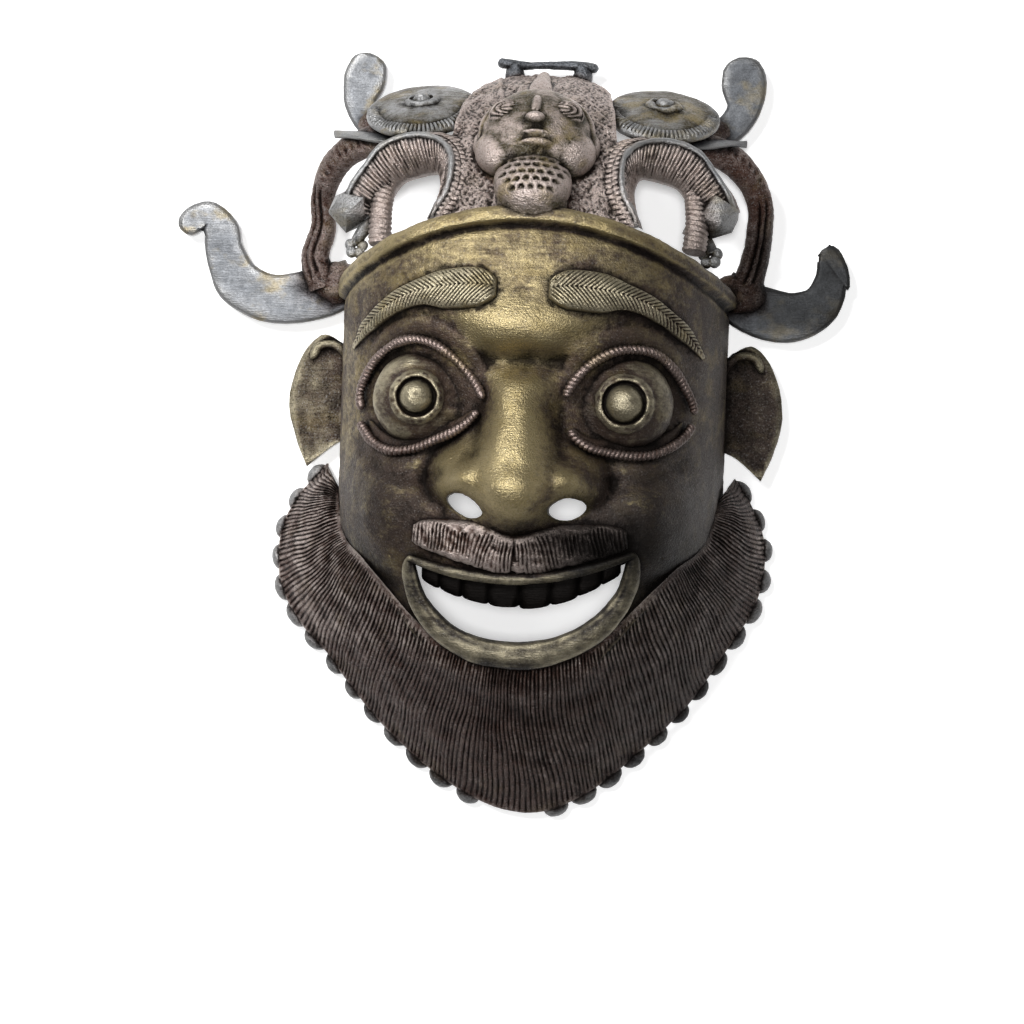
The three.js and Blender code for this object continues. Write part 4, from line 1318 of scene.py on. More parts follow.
@dataclass
class Hooks:
    """The flat hooks at the sides and above the discs, and the bar on top."""

    thickness: float = 4.5
    lift: float = 10.0
    right: Points = ((-96, 86, 11), (-112, 79, 13), (-138, 75, 12.5), (-156, 83, 12), (-164, 99, 10),
                     (-166, 110, 9), (-173, 117, 7.5), (-181, 114, 7), (-184, 107, 6))
    left: Points = ((94, 86, 11), (112, 76, 13), (130, 73, 12.5), (144, 80, 10.5), (149, 93, 8),
                    (148, 104, 6.5), (144, 108, 4))
    barb: Points = ((145, 108, 4), (151, 102, 4.6), (155, 95, 3.6), (158, 88, 1.2))
    top_right: Points = ((-79.5, 160, 6), (-89.5, 167, 7.5), (-95.5, 178, 8.5), (-93.5, 190, 11),
                         (-90.5, 203, 8))
    top_left: Points = ((81.5, 160, 6), (93.5, 167, 7.5), (101.5, 178, 8.5), (101.5, 192, 11.5),
                        (98.5, 205, 8))

    def strip(self, casting: Casting, spine: Points, lift: float, steps: int) -> None:
        """Makes one flat strip with worn edges that ends in a round tip.

        Args:
            casting: Takes the strip.
            spine: Its middle line as [x, y, half width].
            lift: Height of its middle plane.
            steps: Faces along it.
        """
        line = Route([(x, y, 0.0) for x, y, _ in spine])
        last = len(spine) - 1
        half = through(*((i / last, stop[2]) for i, stop in enumerate(spine)))

        def place(p: Array) -> Array:
            """Bends the block along the middle line."""
            t = (p[:, 1] + 1) / 2
            reach = half(t) * np.sqrt(np.maximum(0.004, 1 - np.clip((t - 0.9) / 0.1, 0, 1) ** 2))
            at, along = line.at(t), line.heading(t)
            edge = np.minimum((1 - np.abs(p[:, 0])) * reach, (1 - t) * line.length)
            thick = self.thickness / 2 - 1.1 * (1 - ease(edge, 0, 1.8))
            thick += 0.25 * swell(at + p[:, :1] * 8, 22, 81)
            across = p[:, 0] * reach
            return np.stack([at[:, 0] - across * along[:, 1], at[:, 1] + across * along[:, 0],
                             lift + np.where(p[:, 2] > 0, thick, -self.thickness / 2)], axis=-1)

        casting.add(slab(26, steps, place), Region.HOOK)

    def build(self, casting: Casting) -> None:
        """Makes all hooks, the stems of the upper ones and the bar."""
        for spine, lift, steps in ((self.right, self.lift, 130), (self.left, self.lift, 120),
                                   (self.barb, self.lift + 0.4, 30), (self.top_right, self.lift, 80),
                                   (self.top_left, self.lift, 80)):
            self.strip(casting, spine, lift, steps)
        for sign in (-1, 1):
            stem = Route([(sign * 74, 156, 40), (sign * 82, 162, 26), (sign * 91, 168, 13)])
            casting.add(rod(stem, oval(level(6), level(4)), facing(0, 0.4, 1), 14, 14), Region.STRUT)
        bar = Route([(-25, 199.5, 12), (-12, 198.2, 12.4), (0, 198.5, 12), (14, 198.6, 12.3),
                     (27, 197.5, 12)])
        section = oval(lambda t: (2.1 + 0.9 * np.abs(t - 0.5)) * rounded(t, 0.05),
                       lambda t: 3.4 * rounded(t, 0.05))
        casting.add(rod(bar, section, facing(0, 0, 1), 16, 60), Region.BAR)
        spreading = oval(lambda t: 3.6 + 2.4 * t, lambda t: 3.8 + t)
        for x in (-15.0, 18.0):
            post = Route([(x, 198.5, 12), (x * 1.06, 194, 12.5), (x * 0.95, 186, 15)])
            casting.add(rod(post, spreading, facing(0, 0, 1), 16, 16), Region.BAR)


# Skin, finish and colour

class Tone(Enum):
    """The bare metals and patinas that show on the mask, and the black of soot and painted shade, as sRGB
    colours.
    """

    BRASS = "#9c8e6a"
    STRAW = "#a59c84"
    OLIVE = "#4a4230"
    BROWN = "#41332a"
    UMBER = "#211a16"
    RUSSET = "#4a3025"
    ROSE = "#857670"
    ASH = "#939393"
    STEEL = "#6a6d72"
    LEAD = "#2c2d30"
    GILT = "#85754b"
    DUST = "#b0a29b"
    # Soot in pits, and the black of painted shade in sheltered hollows, under the nose and on the teeth.
    SOOT = "#0c0a09"


@dataclass(frozen=True)
class Finish:
    """How one region of the bronze looks."""

    body: Tone  # its patina
    bright: Tone  # what shows where it is rubbed
    bare: float  # share of rubbed metal on open ground, from 0 to 1
    dark: float = 0.0  # soot and wax, and on the teeth painted shade, from 0 to 1
    grain: float = 0.1  # roughness of the cast surface in millimetres
    coarse: float = 0.3  # how granular the casting skin is, from 0 to 1
    gold: float = 0.3  # share of golden patches, from 0 to 1
    mottled: float = 1.0  # how uneven the rubbing is, from 0 to 1


FINISHES: dict[Region, Finish] = {
    Region.FACE: Finish(Tone.BROWN, Tone.BRASS, 0.16, grain=0.14, coarse=0.36, gold=0.45, mottled=0.85),
    Region.BAND: Finish(Tone.OLIVE, Tone.BRASS, 0.3, grain=0.1, coarse=0.25, gold=0.5),
    Region.BROW: Finish(Tone.RUSSET, Tone.STRAW, 0.5, grain=0.05, coarse=0.25, gold=0.5, mottled=0.8),
    Region.LID: Finish(Tone.BROWN, Tone.BRASS, -0.2, grain=0.1, gold=0.0, mottled=0.5),
    Region.ROPE: Finish(Tone.RUSSET, Tone.ROSE, 0.24, grain=0.05, coarse=0.2, gold=0.35, mottled=0.6),
    Region.EYEBALL: Finish(Tone.BROWN, Tone.STRAW, 0.2, grain=0.12, gold=0.3),
    Region.STUD: Finish(Tone.OLIVE, Tone.STRAW, 0.4, grain=0.06, coarse=0.25),
    Region.LIP: Finish(Tone.UMBER, Tone.STRAW, 0.19, dark=0.05, grain=0.1, gold=0.1, mottled=0.7),
    # The teeth are painted soot black for the shade behind the upper lip.
    Region.TOOTH: Finish(Tone.SOOT, Tone.SOOT, 0.0, dark=1.0, grain=0.1, coarse=0.0, gold=0.0),
    Region.MOUSTACHE: Finish(Tone.RUSSET, Tone.DUST, 0.32, grain=0.1, coarse=0.5, gold=0.05, mottled=0.6),
    Region.EAR: Finish(Tone.BROWN, Tone.STRAW, 0.28, grain=0.12, coarse=0.7, gold=0.25, mottled=0.5),
    Region.BEARD: Finish(Tone.RUSSET, Tone.DUST, 0.07, grain=0.1, coarse=0.8, gold=0.15, mottled=0.8),
    Region.BEAD: Finish(Tone.LEAD, Tone.ASH, 0.3, grain=0.14, coarse=0.5, gold=0.1),
    Region.CAP: Finish(Tone.RUSSET, Tone.DUST, 0.62, grain=0.22, coarse=1.0, gold=0.15),
    Region.SMALL_HEAD: Finish(Tone.OLIVE, Tone.DUST, 0.16, grain=0.12, coarse=0.6, gold=0.6),
    Region.DISC: Finish(Tone.OLIVE, Tone.ASH, 0.36, grain=0.1, coarse=0.5, gold=0.6),
    # A share above 1 paints the arch lighter against the shadow of the disc and outweighs the painted shade
    # of its ribs.
    Region.ARCH: Finish(Tone.RUSSET, Tone.DUST, 1.5, grain=0.12, coarse=0.6, gold=0.15),
    Region.CORD: Finish(Tone.STEEL, Tone.ASH, 0.6, grain=0.06, coarse=0.3, gold=0.15),
    Region.BEAST_HEAD: Finish(Tone.OLIVE, Tone.ASH, 0.3, grain=0.1, coarse=0.6, gold=0.35),
    Region.STRUT: Finish(Tone.RUSSET, Tone.ROSE, 0.1, dark=0.1, grain=0.2, coarse=0.9, gold=0.2),
    Region.BLADE: Finish(Tone.STEEL, Tone.ASH, 0.5, grain=0.08, coarse=0.3, gold=0.2, mottled=0.5),
    Region.HOOK: Finish(Tone.STEEL, Tone.ASH, 0.3, grain=0.03, coarse=0.1, gold=0.55, mottled=0.4),
    Region.BAR: Finish(Tone.LEAD, Tone.STEEL, 0.1, dark=0.2, grain=0.2, coarse=0.6, gold=0.1),
    Region.INSIDE: Finish(Tone.UMBER, Tone.BROWN, 0.2, dark=0.4, grain=0.25, coarse=0.8, gold=0.1),
}


# Where hands have rubbed the metal, and painted highlights where the main light falls on the mask's right
# (-X): middle, half width, half height and share, below 0 where it is whole.
RUBBED_AND_HIGHLIT = (
    ((-14, 88), 60, 22, 0.3), ((0, 58), 34, 14, 0.75), ((-2, 2), 15, 36, 0.8), ((-27, -12), 16, 14, 1.2),
    ((-105, -60), 34, 60, 0.2), ((24, -14), 11, 10, 0.3), ((-86, -2), 7, 24, 0.25),
    ((10, -102), 34, 5, 0.35), ((-90, -20), 14, 40, -0.15))
WHOLE_ON_BOTH_SIDES = (((56, -34), 32, 38, -0.34), ((50, 22), 40, 36, -0.16))


def values_of(items: bpy.types.bpy_prop_collection, name: str, width: int = 1, kind: type = float) -> Array:
    """Reads one property of every item of a mesh.

    Args:
        items: The vertices, edges, faces or corners.
        name: The property.
        width: How many numbers it has.
        kind: The type of number.

    Returns:
        One value for each item, or one row where it has more numbers.
    """
    values = np.empty(len(items) * width, kind)
    items.foreach_get(name, values)
    return values.reshape(-1, width) if width > 1 else values


class Surface:
    """Works out skin, finish and painted shade of the joined mesh and thins it where it is plain."""

    def __init__(self, mesh: bpy.types.Mesh) -> None:
        """Reads the mesh."""
        self.mesh = mesh
        self.read()

    def read(self) -> None:
        """Reads points, normals, edges and regions."""
        mesh = self.mesh
        self.points = values_of(mesh.vertices, "co", 3)
        self.normals = values_of(mesh.vertex_normals, "vector", 3)
        self.edges = values_of(mesh.edges, "vertices", 2, int)
        regions = values_of(mesh.attributes["region"].data, "value", kind=np.int32)
        self.corners = values_of(mesh.loops, "vertex_index", kind=int)
        self.corner_regions = np.repeat(regions, values_of(mesh.polygons, "loop_total", kind=int))

    def spread(self, values: Array, rounds: int) -> Array:
        """Evens out one value per vertex over its neighbours."""
        a, b = self.edges.T
        count = np.bincount(a, minlength=len(values)) + np.bincount(b, minlength=len(values))
        for _ in range(rounds):
            total = np.bincount(a, values[b], len(values)) + np.bincount(b, values[a], len(values))
            values = 0.5 * values + 0.5 * total / np.maximum(count, 1)
        return values

    def by_region(self, read: Callable[[Finish], float]) -> Array:
        """Returns one number of the finishes at each vertex."""
        table = np.array([read(FINISHES[region]) for region in Region])
        weight = np.bincount(self.corners, minlength=len(self.points))
        total = np.bincount(self.corners, table[self.corner_regions], len(self.points))
        return total / np.maximum(weight, 1)

    def roughen(self) -> None:
        """Gives the metal its uneven cast skin, more where it was never rubbed."""
        grain = self.spread(self.by_region(lambda f: f.grain), 3)
        fine = 0.55 * swell(self.points, 3.1, 91, 22) + 0.45 * swell(self.points, 1.7, 92, 22)
        lumps = 0.3 * swell(self.points, 17, 93)
        self.points += self.normals * (grain * fine + lumps * 0.8)[:, None]
        self.points[:, 2] = np.maximum(self.points[:, 2], 0.0)
        self.mesh.vertices.foreach_set("co", self.points.ravel())
        self.mesh.update()

    def thin(self) -> None:
        """Thins the mesh where it is plain, so that it stays under its limit of triangles."""
        body = bpy.data.objects.new("form", self.mesh)
        bpy.context.scene.collection.objects.link(body)
        total = sum(len(p.vertices) - 2 for p in self.mesh.polygons)
        step = body.modifiers.new("thin", "DECIMATE")
        step.ratio, step.use_collapse_triangulate = min(1.0, MOST_TRIANGLES / total), True
        mesh = bpy.data.meshes.new_from_object(body.evaluated_get(bpy.context.evaluated_depsgraph_get()))
        bpy.data.objects.remove(body)
        bpy.data.meshes.remove(self.mesh)
        LOG.info("casting: %d triangles before thinning, %d after", total, len(mesh.polygons))
        self.mesh = mesh
        self.read()

    def shelter(self, reach: float, rays: int) -> Array:
        """Returns how much of the sky above each vertex is hidden within a reach.

        Args:
            reach: How far a ray looks, in millimetres.
            rays: How many rays each vertex sends out.

        Returns:
            0 in the open to 1 in a closed pocket.
        """
        tree = BVHTree.FromPolygons(self.points.tolist(), [p.vertices[:] for p in self.mesh.polygons])
        k = np.arange(rays) + 0.5
        rise, turn = 1 - 0.85 * k / rays, k * math.pi * (1 + 5 ** 0.5)
        wide = np.sqrt(1 - rise ** 2)
        local = np.stack([wide * np.cos(turn), wide * np.sin(turn), rise], axis=-1)
        other = np.where(np.abs(self.normals[:, :1]) > 0.7, (0, 1, 0), (1, 0, 0))
        aside = unit(np.cross(self.normals, other))
        ahead = np.cross(self.normals, aside)
        hidden = np.zeros(len(self.points))
        start = (self.points + self.normals * 0.15).tolist()
        cast = tree.ray_cast
        for direction in local:
            aim = (aside * direction[0] + ahead * direction[1] + self.normals * direction[2]).tolist()
            hidden += [1.0 if cast(o, d, reach)[0] is not None else 0.0 for o, d in zip(start, aim)]
        return hidden / rays

    def bend(self) -> Array:
        """Returns how far each vertex stands above its neighbours, in millimetres."""
        smooth = np.stack([self.spread(self.points[:, k], 6) for k in range(3)], axis=-1)
        a, b = self.edges.T
        lengths = np.linalg.norm(self.points[a] - self.points[b], axis=1)
        count = np.bincount(a, minlength=len(smooth)) + np.bincount(b, minlength=len(smooth))
        total = np.bincount(a, lengths, len(smooth)) + np.bincount(b, lengths, len(smooth))
        mean = total / np.maximum(count, 1)
        coarse = np.minimum(1, 1.1 / np.maximum(self.spread(mean, 3), 0.1)) ** 1.6
        return np.sum((self.points - smooth) * self.normals, axis=1) * coarse

    def worn(self) -> Array:
        """Returns how much more hands have rubbed each place, with painted highlights, or less where the
        patina is whole or painted shade lies.
        """
        x, y = self.points[:, 0], self.points[:, 1]
        much = sum(hill(x, y, *place) for place in RUBBED_AND_HIGHLIT)
        much += sum(hill(np.abs(x), y, *place) for place in WHOLE_ON_BOTH_SIDES)
        # Painted shade: less rubbed towards the mask's left (+X), where less light falls, and from below the
        # lower lip down.
        return much - 0.25 * ease(x, 40, 95) - 0.5 * ease(-y, 96, 108)

    def darkening_and_painted_shade(self) -> Array:
        """Returns how much darker the colours are painted: painted shade and the nose's painted shadow, and
        darker towards the bottom and on the cheeks.
        """
        x, y = self.points[:, 0], self.points[:, 1]
        # Painted shade towards the mask's left (+X), where less light falls, less so on the headdress.
        side = 0.5 * ease(x, -10, 90) * (1 - 0.8 * ease(y, 95, 130))
        # Painted shade on the left hook.
        hook = 0.78 * ease(x, 104, 122) * ease(y, 60, 70) * (1 - ease(y, 112, 135))
        # Darker towards the bottom.
        chin = 0.35 * ease(-y, 60, 130)
        # Darker on both cheeks.
        cheeks = hill(np.abs(x), y, (66, -34), 34, 40, 0.5)
        # Painted shade on the face just above the jaw line, below the lower lip.
        skin = self.by_region(lambda f: float(f is FINISHES[Region.FACE]))
        jaw = 0.7 * skin * (1 - ease(y - Face().jaw_line(x), 10, 24)) * ease(-y, 30, 60)
        # Painted shade on the upper left of the headdress.
        top = 0.35 * ease(x, 76, 90) * ease(y, 148, 160)
        # Painted shadow of the nose over the left of the moustache.
        nose = hill(x, y, (40, -47), 36, 15, 0.93)
        return np.prod([1 - share for share in (side, hook, chin, cheeks, jaw, top, nose)], axis=0)

    def store(self, name: str, values: Array) -> None:
        """Keeps one value or one colour per vertex for the material."""
        kind, field_name = ("FLOAT_COLOR", "color") if values.ndim == 2 else ("FLOAT", "value")
        slot = self.mesh.attributes.new(name, kind, "POINT")
        slot.data.foreach_set(field_name, np.clip(values, 0, 1).astype(np.float32).ravel())

    def evened(self, name: str) -> Array:
        """Returns one number of the finishes at each vertex, blended where regions meet."""
        return self.spread(self.by_region(lambda f: getattr(f, name)), 2)

    def dress(self) -> None:
        """Stores everything that the bronze's material reads."""
        wide = self.spread(self.shelter(FAR_REACH, 12), 2)
        near = self.spread(self.shelter(NEAR_REACH, 8), 1)
        crest, darkening_and_painted_shade = self.bend(), self.darkening_and_painted_shade()
        # The patina and rubbed colours are darkened by the painted shade.
        for name in ("body", "bright"):
            channels = [self.spread(self.by_region(lambda f, n=name, k=k: srgb(getattr(f, n).value)[k]), 2)
                        for k in range(3)]
            colours_in_painted_shade = np.stack(channels, axis=-1) * darkening_and_painted_shade[:, None]
            self.store(name, np.column_stack([colours_in_painted_shade, np.ones(len(wide))]))
        coarse, bare = self.evened("coarse"), self.evened("bare")
        self.store("coarse", coarse)
        self.store("mottled", self.evened("mottled"))
        # The sparkle of the grains is thinned in the painted shade too.
        self.store("spark", coarse * darkening_and_painted_shade)
        x, y = self.points[:, 0], self.points[:, 1]
        # Golden patches are thinned in the painted shade, and on the cheeks and the chin.
        cheeks = 1 - hill(np.abs(x), y, (64, -28), 32, 44, 0.9)
        chin = 1 - ease(-y, 92, 104) * ease(self.points[:, 2], 20, 40)
        self.store("gold", self.evened("gold") * darkening_and_painted_shade * (cheeks * chin))
        # The rubbed share carries the painted highlights and shade of worn(), brightens raised crests and
        # drops in sheltered hollows.
        self.store("bare", bare + self.worn() * ease(bare, 0.03, 0.09) + np.clip(crest * 3.4, 0, 0.85)
                   - 0.5 * ease(wide, 0.2, 0.85) - 0.4 * ease(near, 0.1, 0.6))
        # Painted shadows under the nose tip and of the nose over the left of the moustache.
        shaded = hill(x, y, (42, -46), 34, 12, 0.75) + hill(x, y, (4, -41), 22, 4, 0.6)
        # Black-brown in hollows and creases: patina and soot in part, painted shade where they are sheltered,
        # and the painted shadows above.
        self.store("deep", self.evened("dark") + 0.75 * ease(near, 0.08, 0.6) + 0.7 * ease(wide, 0.45, 1.0)
                   + np.clip(-crest * 6.0, 0, 0.95) + shaded)


def srgb(code: str) -> tuple[float, float, float, float]:
    """Turns a hex colour into the linear values that a shader takes."""
    channels = [int(code[i:i + 2], 16) / 255 for i in (1, 3, 5)]
    linear = [c / 12.92 if c <= 0.04045 else ((c + 0.055) / 1.055) ** 2.4 for c in channels]
    return (*linear, 1.0)


def add_node(material: bpy.types.Material, kind: str, settings: dict | None = None,
             **inputs: object) -> bpy.types.Node:
    """Adds a node with its settings, and values or links for its sockets.

    Args:
        material: Takes the node.
        kind: The node's type name.
        settings: Properties of the node.
        inputs: Values or output sockets by socket name, with underscores for spaces, or by place as in_0.

    Returns:
        The node.
    """
    tree = material.node_tree
    node = tree.nodes.new(kind)
    for name, value in (settings or {}).items():
        setattr(node, name, value)
    for name, value in inputs.items():
        socket = node.inputs[int(name[3:])] if name.startswith("in_") else node.inputs[name.replace("_", " ")]
        if isinstance(value, bpy.types.NodeSocket):
            tree.links.new(value, socket)
        else:
            socket.default_value = value
    return node


def add_rows(material: bpy.types.Material, rows: Sequence[tuple]) -> dict[str, bpy.types.NodeSocket]:
    """Adds a table of nodes.

    Args:
        material: Takes the nodes.
        rows: Name, node type, output, settings and inputs, which are a dict or the first sockets in order.
            A text among the inputs names an earlier row.

    Returns:
        The output socket of each row by its name.
    """
    made: dict[str, bpy.types.NodeSocket] = {}
    for name, kind, output, settings, inputs in rows:
        if isinstance(inputs, tuple):
            inputs = {f"in_{place}": value for place, value in enumerate(inputs)}
        given = {socket: made[value] if isinstance(value, str) else value for socket, value in inputs.items()}
        made[name] = add_node(material, kind, settings, **given).outputs[output]
    return made


@dataclass(frozen=True)
class Bronze:
    """Leaded bronze, cast by the lost-wax way and never machined.

    The raised skin of the face is rubbed to a golden brass that gives small hard highlights, hollows
    hold black-brown patina deepened with painted shade, and the casting skin of cap and beard is a rough
    reddish brown. The colours it reads also carry painted shade, painted shadows and painted highlights.
    """

    soot_and_shade: Tone = Tone.SOOT
    gilt: Tone = Tone.GILT
    spark: Tone = Tone.ASH
    blotch_mm: float = 22.0
    patch_mm: float = 13.0
    mottle_mm: float = 5.0
    streak_mm: float = 1.6
    grain_mm: float = 0.9
    brush_mm: float = 0.6

    def material(self) -> bpy.types.Material:
        """Builds the material."""
        made = bpy.data.materials.new("lost-wax cast bronze")
        made.use_nodes = True
        made.node_tree.nodes.clear()
        math_node, ranged, mixed = "ShaderNodeMath", "ShaderNodeMapRange", "ShaderNodeMix"
        smooth = {"interpolation_type": "SMOOTHSTEP"}
        add, times = {"operation": "ADD"}, {"operation": "MULTIPLY"}
        colours, multiply = {"data_type": "RGBA"}, {"data_type": "RGBA", "blend_type": "MULTIPLY"}
        rows: list[tuple] = [("place", "ShaderNodeTexCoord", "Object", {}, {})]
        for name in ("body", "bright", "bare", "deep", "coarse", "gold", "mottled", "spark"):
            output = "Color" if name in ("body", "bright") else "Fac"
            rows.append((name, "ShaderNodeAttribute", output, {"attribute_name": name}, {}))
        for name, size, detail, rough, stretch, turn in (
                ("blotch", self.blotch_mm, 4.0, 0.6, (1, 1, 1), 0.0),
                ("patch", self.patch_mm, 4.0, 0.6, (0.7, 1, 1), 0.9),
                ("mottle", self.mottle_mm, 5.0, 0.65, (1, 1, 1), 0.0),
                ("streak", self.streak_mm, 3.0, 0.6, (0.12, 1, 1), 0.6),
                ("grain", self.grain_mm, 2.0, 0.7, (1, 1, 1), 0.0),
                ("strokes", self.brush_mm, 2.0, 0.5, (0.06, 1, 1), 0.35)):
            place = {"in_0": "place", "in_2": (0, 0, turn), "in_3": stretch}
            noise = {"Vector": name + " place", "Scale": 1 / (size * MM), "Detail": detail,
                     "Roughness": rough}
            rows.append((name + " place", "ShaderNodeMapping", 0, {}, place))
            rows.append((name, "ShaderNodeTexNoise", "Fac", {}, noise))
        soot_and_shade, gilt, spark = (srgb(tone.value) for tone in (self.soot_and_shade, self.gilt, self.spark))
        rows += [
            # How bare the metal is: what the surface says, broken up by blotches, mottle and streaks.
            ("blotches", ranged, 0, smooth, ("blotch", 0.35, 0.65, -0.2, 0.2)),
            ("mottles", ranged, 0, smooth, ("mottle", 0.3, 0.7, -0.13, 0.13)),
            ("streaks", ranged, 0, smooth, ("streak", 0.3, 0.7, -0.14, 0.14)),
            ("uneven", math_node, 0, add, ("blotches", "mottles")),
            ("uneven 2", math_node, 0, add, ("uneven", "streaks")),
            ("uneven 3", math_node, 0, times, ("uneven 2", "mottled")),
            ("sum", math_node, 0, add, ("bare", "uneven 3")),
            ("rubbed", ranged, 0, smooth, ("sum", 0.0, 1.0)),
            # Patina of two depths under the rubbed metal, then black in the hollows and between the grains:
            # soot and patina in part, painted shade in sheltered hollows, under the nose and on the teeth.
            ("shade", ranged, 0, smooth, ("mottle", 0.3, 0.7, 0.7, 1.2)),
            ("shades", "ShaderNodeCombineColor", 0, {}, ("shade", "shade", "shade")),
            ("patina", mixed, 2, multiply, {"in_0": 1.0, "in_6": "body", "in_7": "shades"}),
            ("plain metal", mixed, 2, colours, {"in_0": "rubbed", "in_6": "patina", "in_7": "bright"}),
            ("patches", ranged, 0, smooth, ("patch", 0.5, 0.68, 0.0, 1.0)),
            ("gilding", math_node, 0, times, ("patches", "gold")),
            ("gilded", mixed, 2, colours, {"in_0": "gilding", "in_6": "plain metal", "in_7": gilt}),
            ("sparks", ranged, 0, smooth, ("grain", 0.56, 0.72, 0.0, 0.75)),
            ("sparkle", math_node, 0, times, ("sparks", "spark")),
            ("metal", mixed, 2, colours, {"in_0": "sparkle", "in_6": "gilded", "in_7": spark}),
            ("pits", ranged, 0, smooth, ("grain", 0.5, 0.3, 0.0, 0.9)),
            ("pitted", math_node, 0, times, ("pits", "coarse")),
            ("hollows", math_node, 0, {**add, "use_clamp": True}, ("deep", "pitted")),
            # Share of the black of soot and painted shade.
            ("soot share", math_node, 0, times, ("hollows", 0.93)),
            ("colour", mixed, 2, colours, {"in_0": "soot share", "in_6": "metal", "in_7": soot_and_shade}),
            # Rubbed metal is smooth and fully metallic, patina is duller and waxy.
            ("gloss", ranged, 0, {}, ("rubbed", 0.0, 1.0, 0.56, 0.43)),
            ("haze", ranged, 0, {}, ("grain", 0.3, 0.7, 0.08, -0.06)),
            ("roughness", math_node, 0, add, ("gloss", "haze")),
            ("metallic", ranged, 0, {}, ("rubbed", 0.0, 1.0, 0.6, 0.92)),
            ("grain share", ranged, 0, {}, ("coarse", 0.0, 1.0, 0.3, 2.4)),
            ("grains", math_node, 0, times, ("grain", "grain share")),
            ("scratches", math_node, 0, times, ("strokes", 0.48)),
            ("fine", math_node, 0, add, ("grains", "scratches")),
            ("dent share", math_node, 0, times, ("mottled", 0.5)),
            ("dents", math_node, 0, times, ("mottle", "dent share")),
            ("relief", math_node, 0, add, ("fine", "dents")),
            ("bump", "ShaderNodeBump", 0, {}, {"Strength": 0.6, "Distance": 0.0007, "Height": "relief"}),
            # Reflections are dimmed under the same soot and painted shade.
            ("sheen", ranged, 0, {}, ("hollows", 0.0, 1.0, 0.5, 0.06)),
            ("shader", "ShaderNodeBsdfPrincipled", 0, {}, {
                "Base_Color": "colour", "Metallic": "metallic", "Specular_IOR_Level": "sheen",
                "Roughness": "roughness", "Normal": "bump"})]
        shader = add_rows(made, rows)["shader"]
        add_node(made, "ShaderNodeOutputMaterial", Surface=shader)
        return made


# Studio

@dataclass
class Studio:
    """Camera, pale floor and soft light."""

    yaw: float = math.radians(4.5)
    roll: float = math.radians(2.0)
    distance_mm: float = 1400.0
    aim_mm: tuple[float, float, float] = (-6.571, -31.149, 50.0)
    focal: float = 98.4375
    floor_half_m: float = 6.0
    paper: str = "#f4f4f4"
    paper_glow: float = 0.35
    room: float = 0.12

    def build(self) -> None:
        """Makes everything in the studio."""
        self.camera()
        self.floor()
        self.lights()
        # Plain sRGB, as in a product photograph on white paper.
        bpy.context.scene.view_settings.view_transform = "Standard"

    def camera(self) -> None:
        """Looks straight down on the face, a little from its left."""
        ahead = Vector((math.sin(self.yaw), 0, math.cos(self.yaw)))
        level_right = Vector((math.cos(self.yaw), 0, -math.sin(self.yaw)))
        right = level_right * math.cos(self.roll) + Vector((0, 1, 0)) * math.sin(self.roll)
        up = Vector((0, 1, 0)) * math.cos(self.roll) - level_right * math.sin(self.roll)
        data = bpy.data.cameras.new("camera")
        data.lens, data.sensor_width = self.focal, 36.0
        data.clip_end = 20.0
        eye = bpy.data.objects.new("camera", data)
        at = (Vector(self.aim_mm) + Vector(SEAT) + ahead * self.distance_mm) * MM
        eye.matrix_world = Matrix.Translation(at) @ Matrix((right, up, ahead)).transposed().to_4x4()
        bpy.context.scene.collection.objects.link(eye)
        bpy.context.scene.camera = eye

    def floor(self) -> None:
        """Makes a wide pale floor."""
        bm = bmesh.new()
        bmesh.ops.create_grid(bm, x_segments=1, y_segments=1, size=self.floor_half_m)
        mesh = bpy.data.meshes.new("floor")
        bm.to_mesh(mesh)
        bm.free()
        floor = bpy.data.objects.new("floor", mesh)
        bpy.context.scene.collection.objects.link(floor)
        paper = bpy.data.materials.new("matt white paper")
        paper.use_nodes = True
        shader = paper.node_tree.nodes["Principled BSDF"]
        shader.inputs["Base Color"].default_value = srgb(self.paper)
        shader.inputs["Roughness"].default_value = 0.9
        # The paper glows a little, as on a light table, so that it stays white through the openings.
        shader.inputs["Emission Color"].default_value = (1, 1, 1, 1)
        shader.inputs["Emission Strength"].default_value = self.paper_glow
        mesh.materials.append(paper)
        floor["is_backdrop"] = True

    def lights(self) -> None:
        """Sets a main light above the upper left, a weak one opposite and a dim room."""
        for name, at, size, power in (("main light", (-0.62, 0.72, 1.6), 0.4, 34.0),
                                      ("front light", (0.14, -0.02, 2.2), 0.2, 24.0),
                                      ("low light", (1.3, 0.2, 0.9), 0.5, 0.5)):
            data = bpy.data.lights.new(name, "AREA")
            data.energy, data.size = power, size
            lamp = bpy.data.objects.new(name, data)
            lamp.location = at
            aim = Vector((0.0, 0.0, 0.05)) - lamp.location
            lamp.rotation_euler = aim.to_track_quat("-Z", "Y").to_euler()
            bpy.context.scene.collection.objects.link(lamp)
        world = bpy.data.worlds.new("room")
        world.use_nodes = True
        world.node_tree.nodes["Background"].inputs["Color"].default_value = (1, 1, 1, 1)
        world.node_tree.nodes["Background"].inputs["Strength"].default_value = self.room
        bpy.context.scene.world = world


# The whole mask

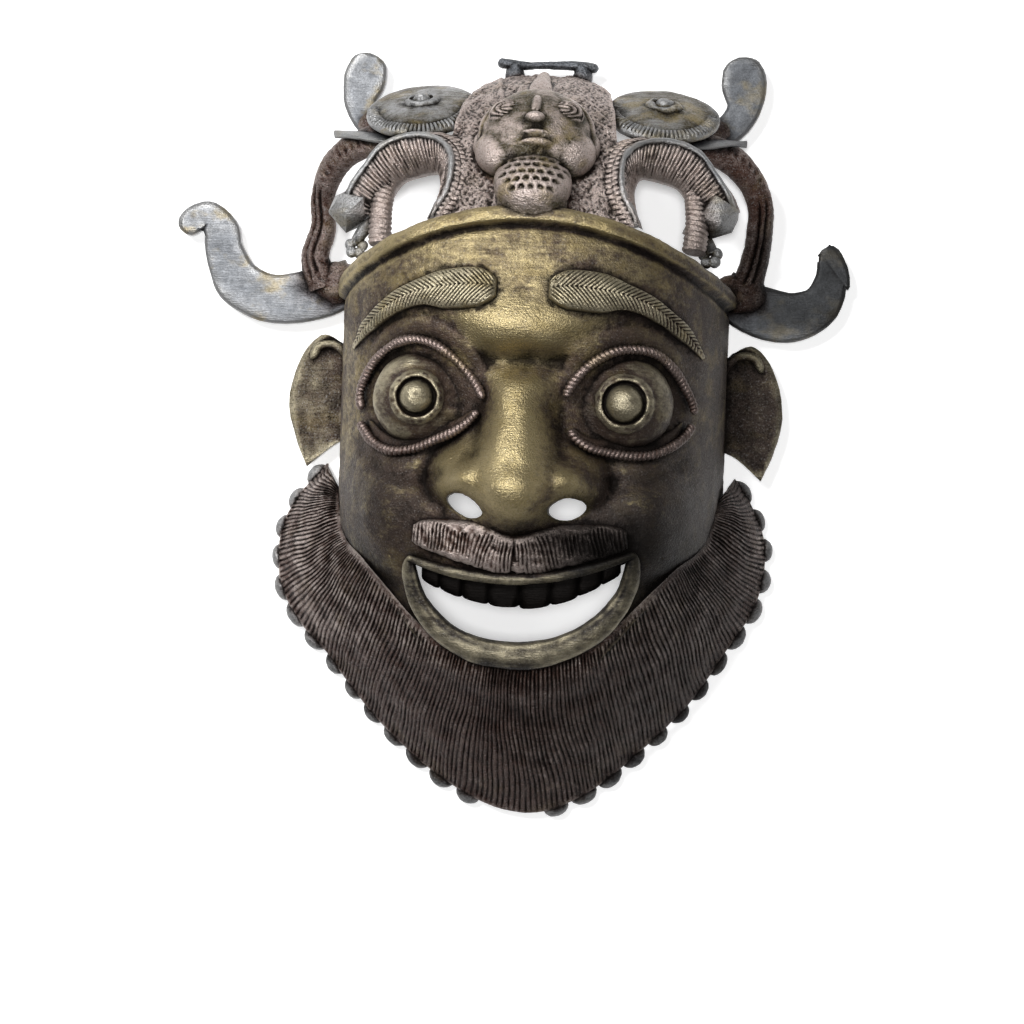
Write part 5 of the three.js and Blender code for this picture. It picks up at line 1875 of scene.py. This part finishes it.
class Mask:
    """The whole casting."""

    def build(self) -> bpy.types.Object:
        """Models every form, pours the casting and gives it its skin."""
        casting, face, cap = Casting(), Face(), Cap()
        face.build(casting)
        face.hollow(casting)
        right_eye = Eye(
            face, Side.RIGHT,
            upper=((-78.1, 16.3), (-79.1, 25.3), (-75.3, 34.8), (-68.1, 44.2), (-58.5, 50), (-50.3, 51.2),
                   (-41, 48.9), (-32.4, 43.2), (-25, 35.2), (-18.7, 27.7), (-15.4, 21.9)),
            lower=((-78.6, 9.7), (-71.1, 0.1), (-61.6, -4.5), (-50.7, -3), (-39.9, 1.4), (-30.2, 5.7),
                   (-23.1, 10.6), (-17.8, 16.6)), stud_radius=8.0)
        left_eye = Eye(
            face, Side.LEFT,
            upper=((20.3, 24.5), (25.4, 33.1), (32.3, 41.1), (42.8, 47.6), (54.6, 49.4), (64.1, 47),
                   (71.4, 40.3), (76.5, 32.2), (80.3, 24), (81.1, 19.2)),
            lower=((22.6, 8.5), (26.3, 3.8), (32.4, -0.2), (41.9, -2.2), (52.7, -3.5), (62.2, -2.6),
                   (70.4, 1.5), (77.3, 8), (80.6, 14.3)), stud_radius=9.0)
        pieces: list[object] = [right_eye, left_eye, Mouth(face), Beard(face), cap, SmallHead(cap), Hooks()]
        for side in Side:
            pieces += [Brow(face, side), Moustache(face, side), Ear(side)]
            pieces += [Disc(side), Beast(side), Strut(side)]
        for piece in pieces:
            piece.build(casting)
            LOG.info("modelled %s", type(piece).__name__)
        surface = Surface(casting.pour().data)
        surface.roughen()
        surface.thin()
        surface.dress()
        return self.seat(surface.mesh)

    @staticmethod
    def seat(mesh: bpy.types.Mesh) -> bpy.types.Object:
        """Moves the mesh to the frame's place and metres and shades it."""
        for vertex in mesh.vertices:
            vertex.co.z = max(vertex.co.z, 0.0)
        mesh.transform(Matrix.Scale(MM, 4) @ Matrix.Translation(SEAT))
        mesh.polygons.foreach_set("use_smooth", np.ones(len(mesh.polygons), bool))
        mesh.set_sharp_from_angle(angle=SHARP_EDGE)
        mesh.materials.clear()
        mesh.materials.append(Bronze().material())
        mesh.polygons.foreach_set("material_index", np.zeros(len(mesh.polygons), np.int32))
        mask = bpy.data.objects.new("mask_casting", mesh)
        bpy.context.scene.collection.objects.link(mask)
        return mask


def plain(box: tuple[Sequence[float], Sequence[float]]) -> list[list[float]]:
    """Returns a box as plain lists of numbers."""
    return [[float(v) for v in corner] for corner in box]


def main() -> None:
    """Loads the frame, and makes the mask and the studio."""
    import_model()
    solid_box = plain(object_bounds())
    mask = Mask().build()
    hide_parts("mask")
    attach(mask, "root")
    LOG.info("mask: %d triangles", len(mask.data.polygons))
    Studio().build()
    {"cad": solid_box, "visual": plain(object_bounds())}


if __name__ == "__main__":
    main()
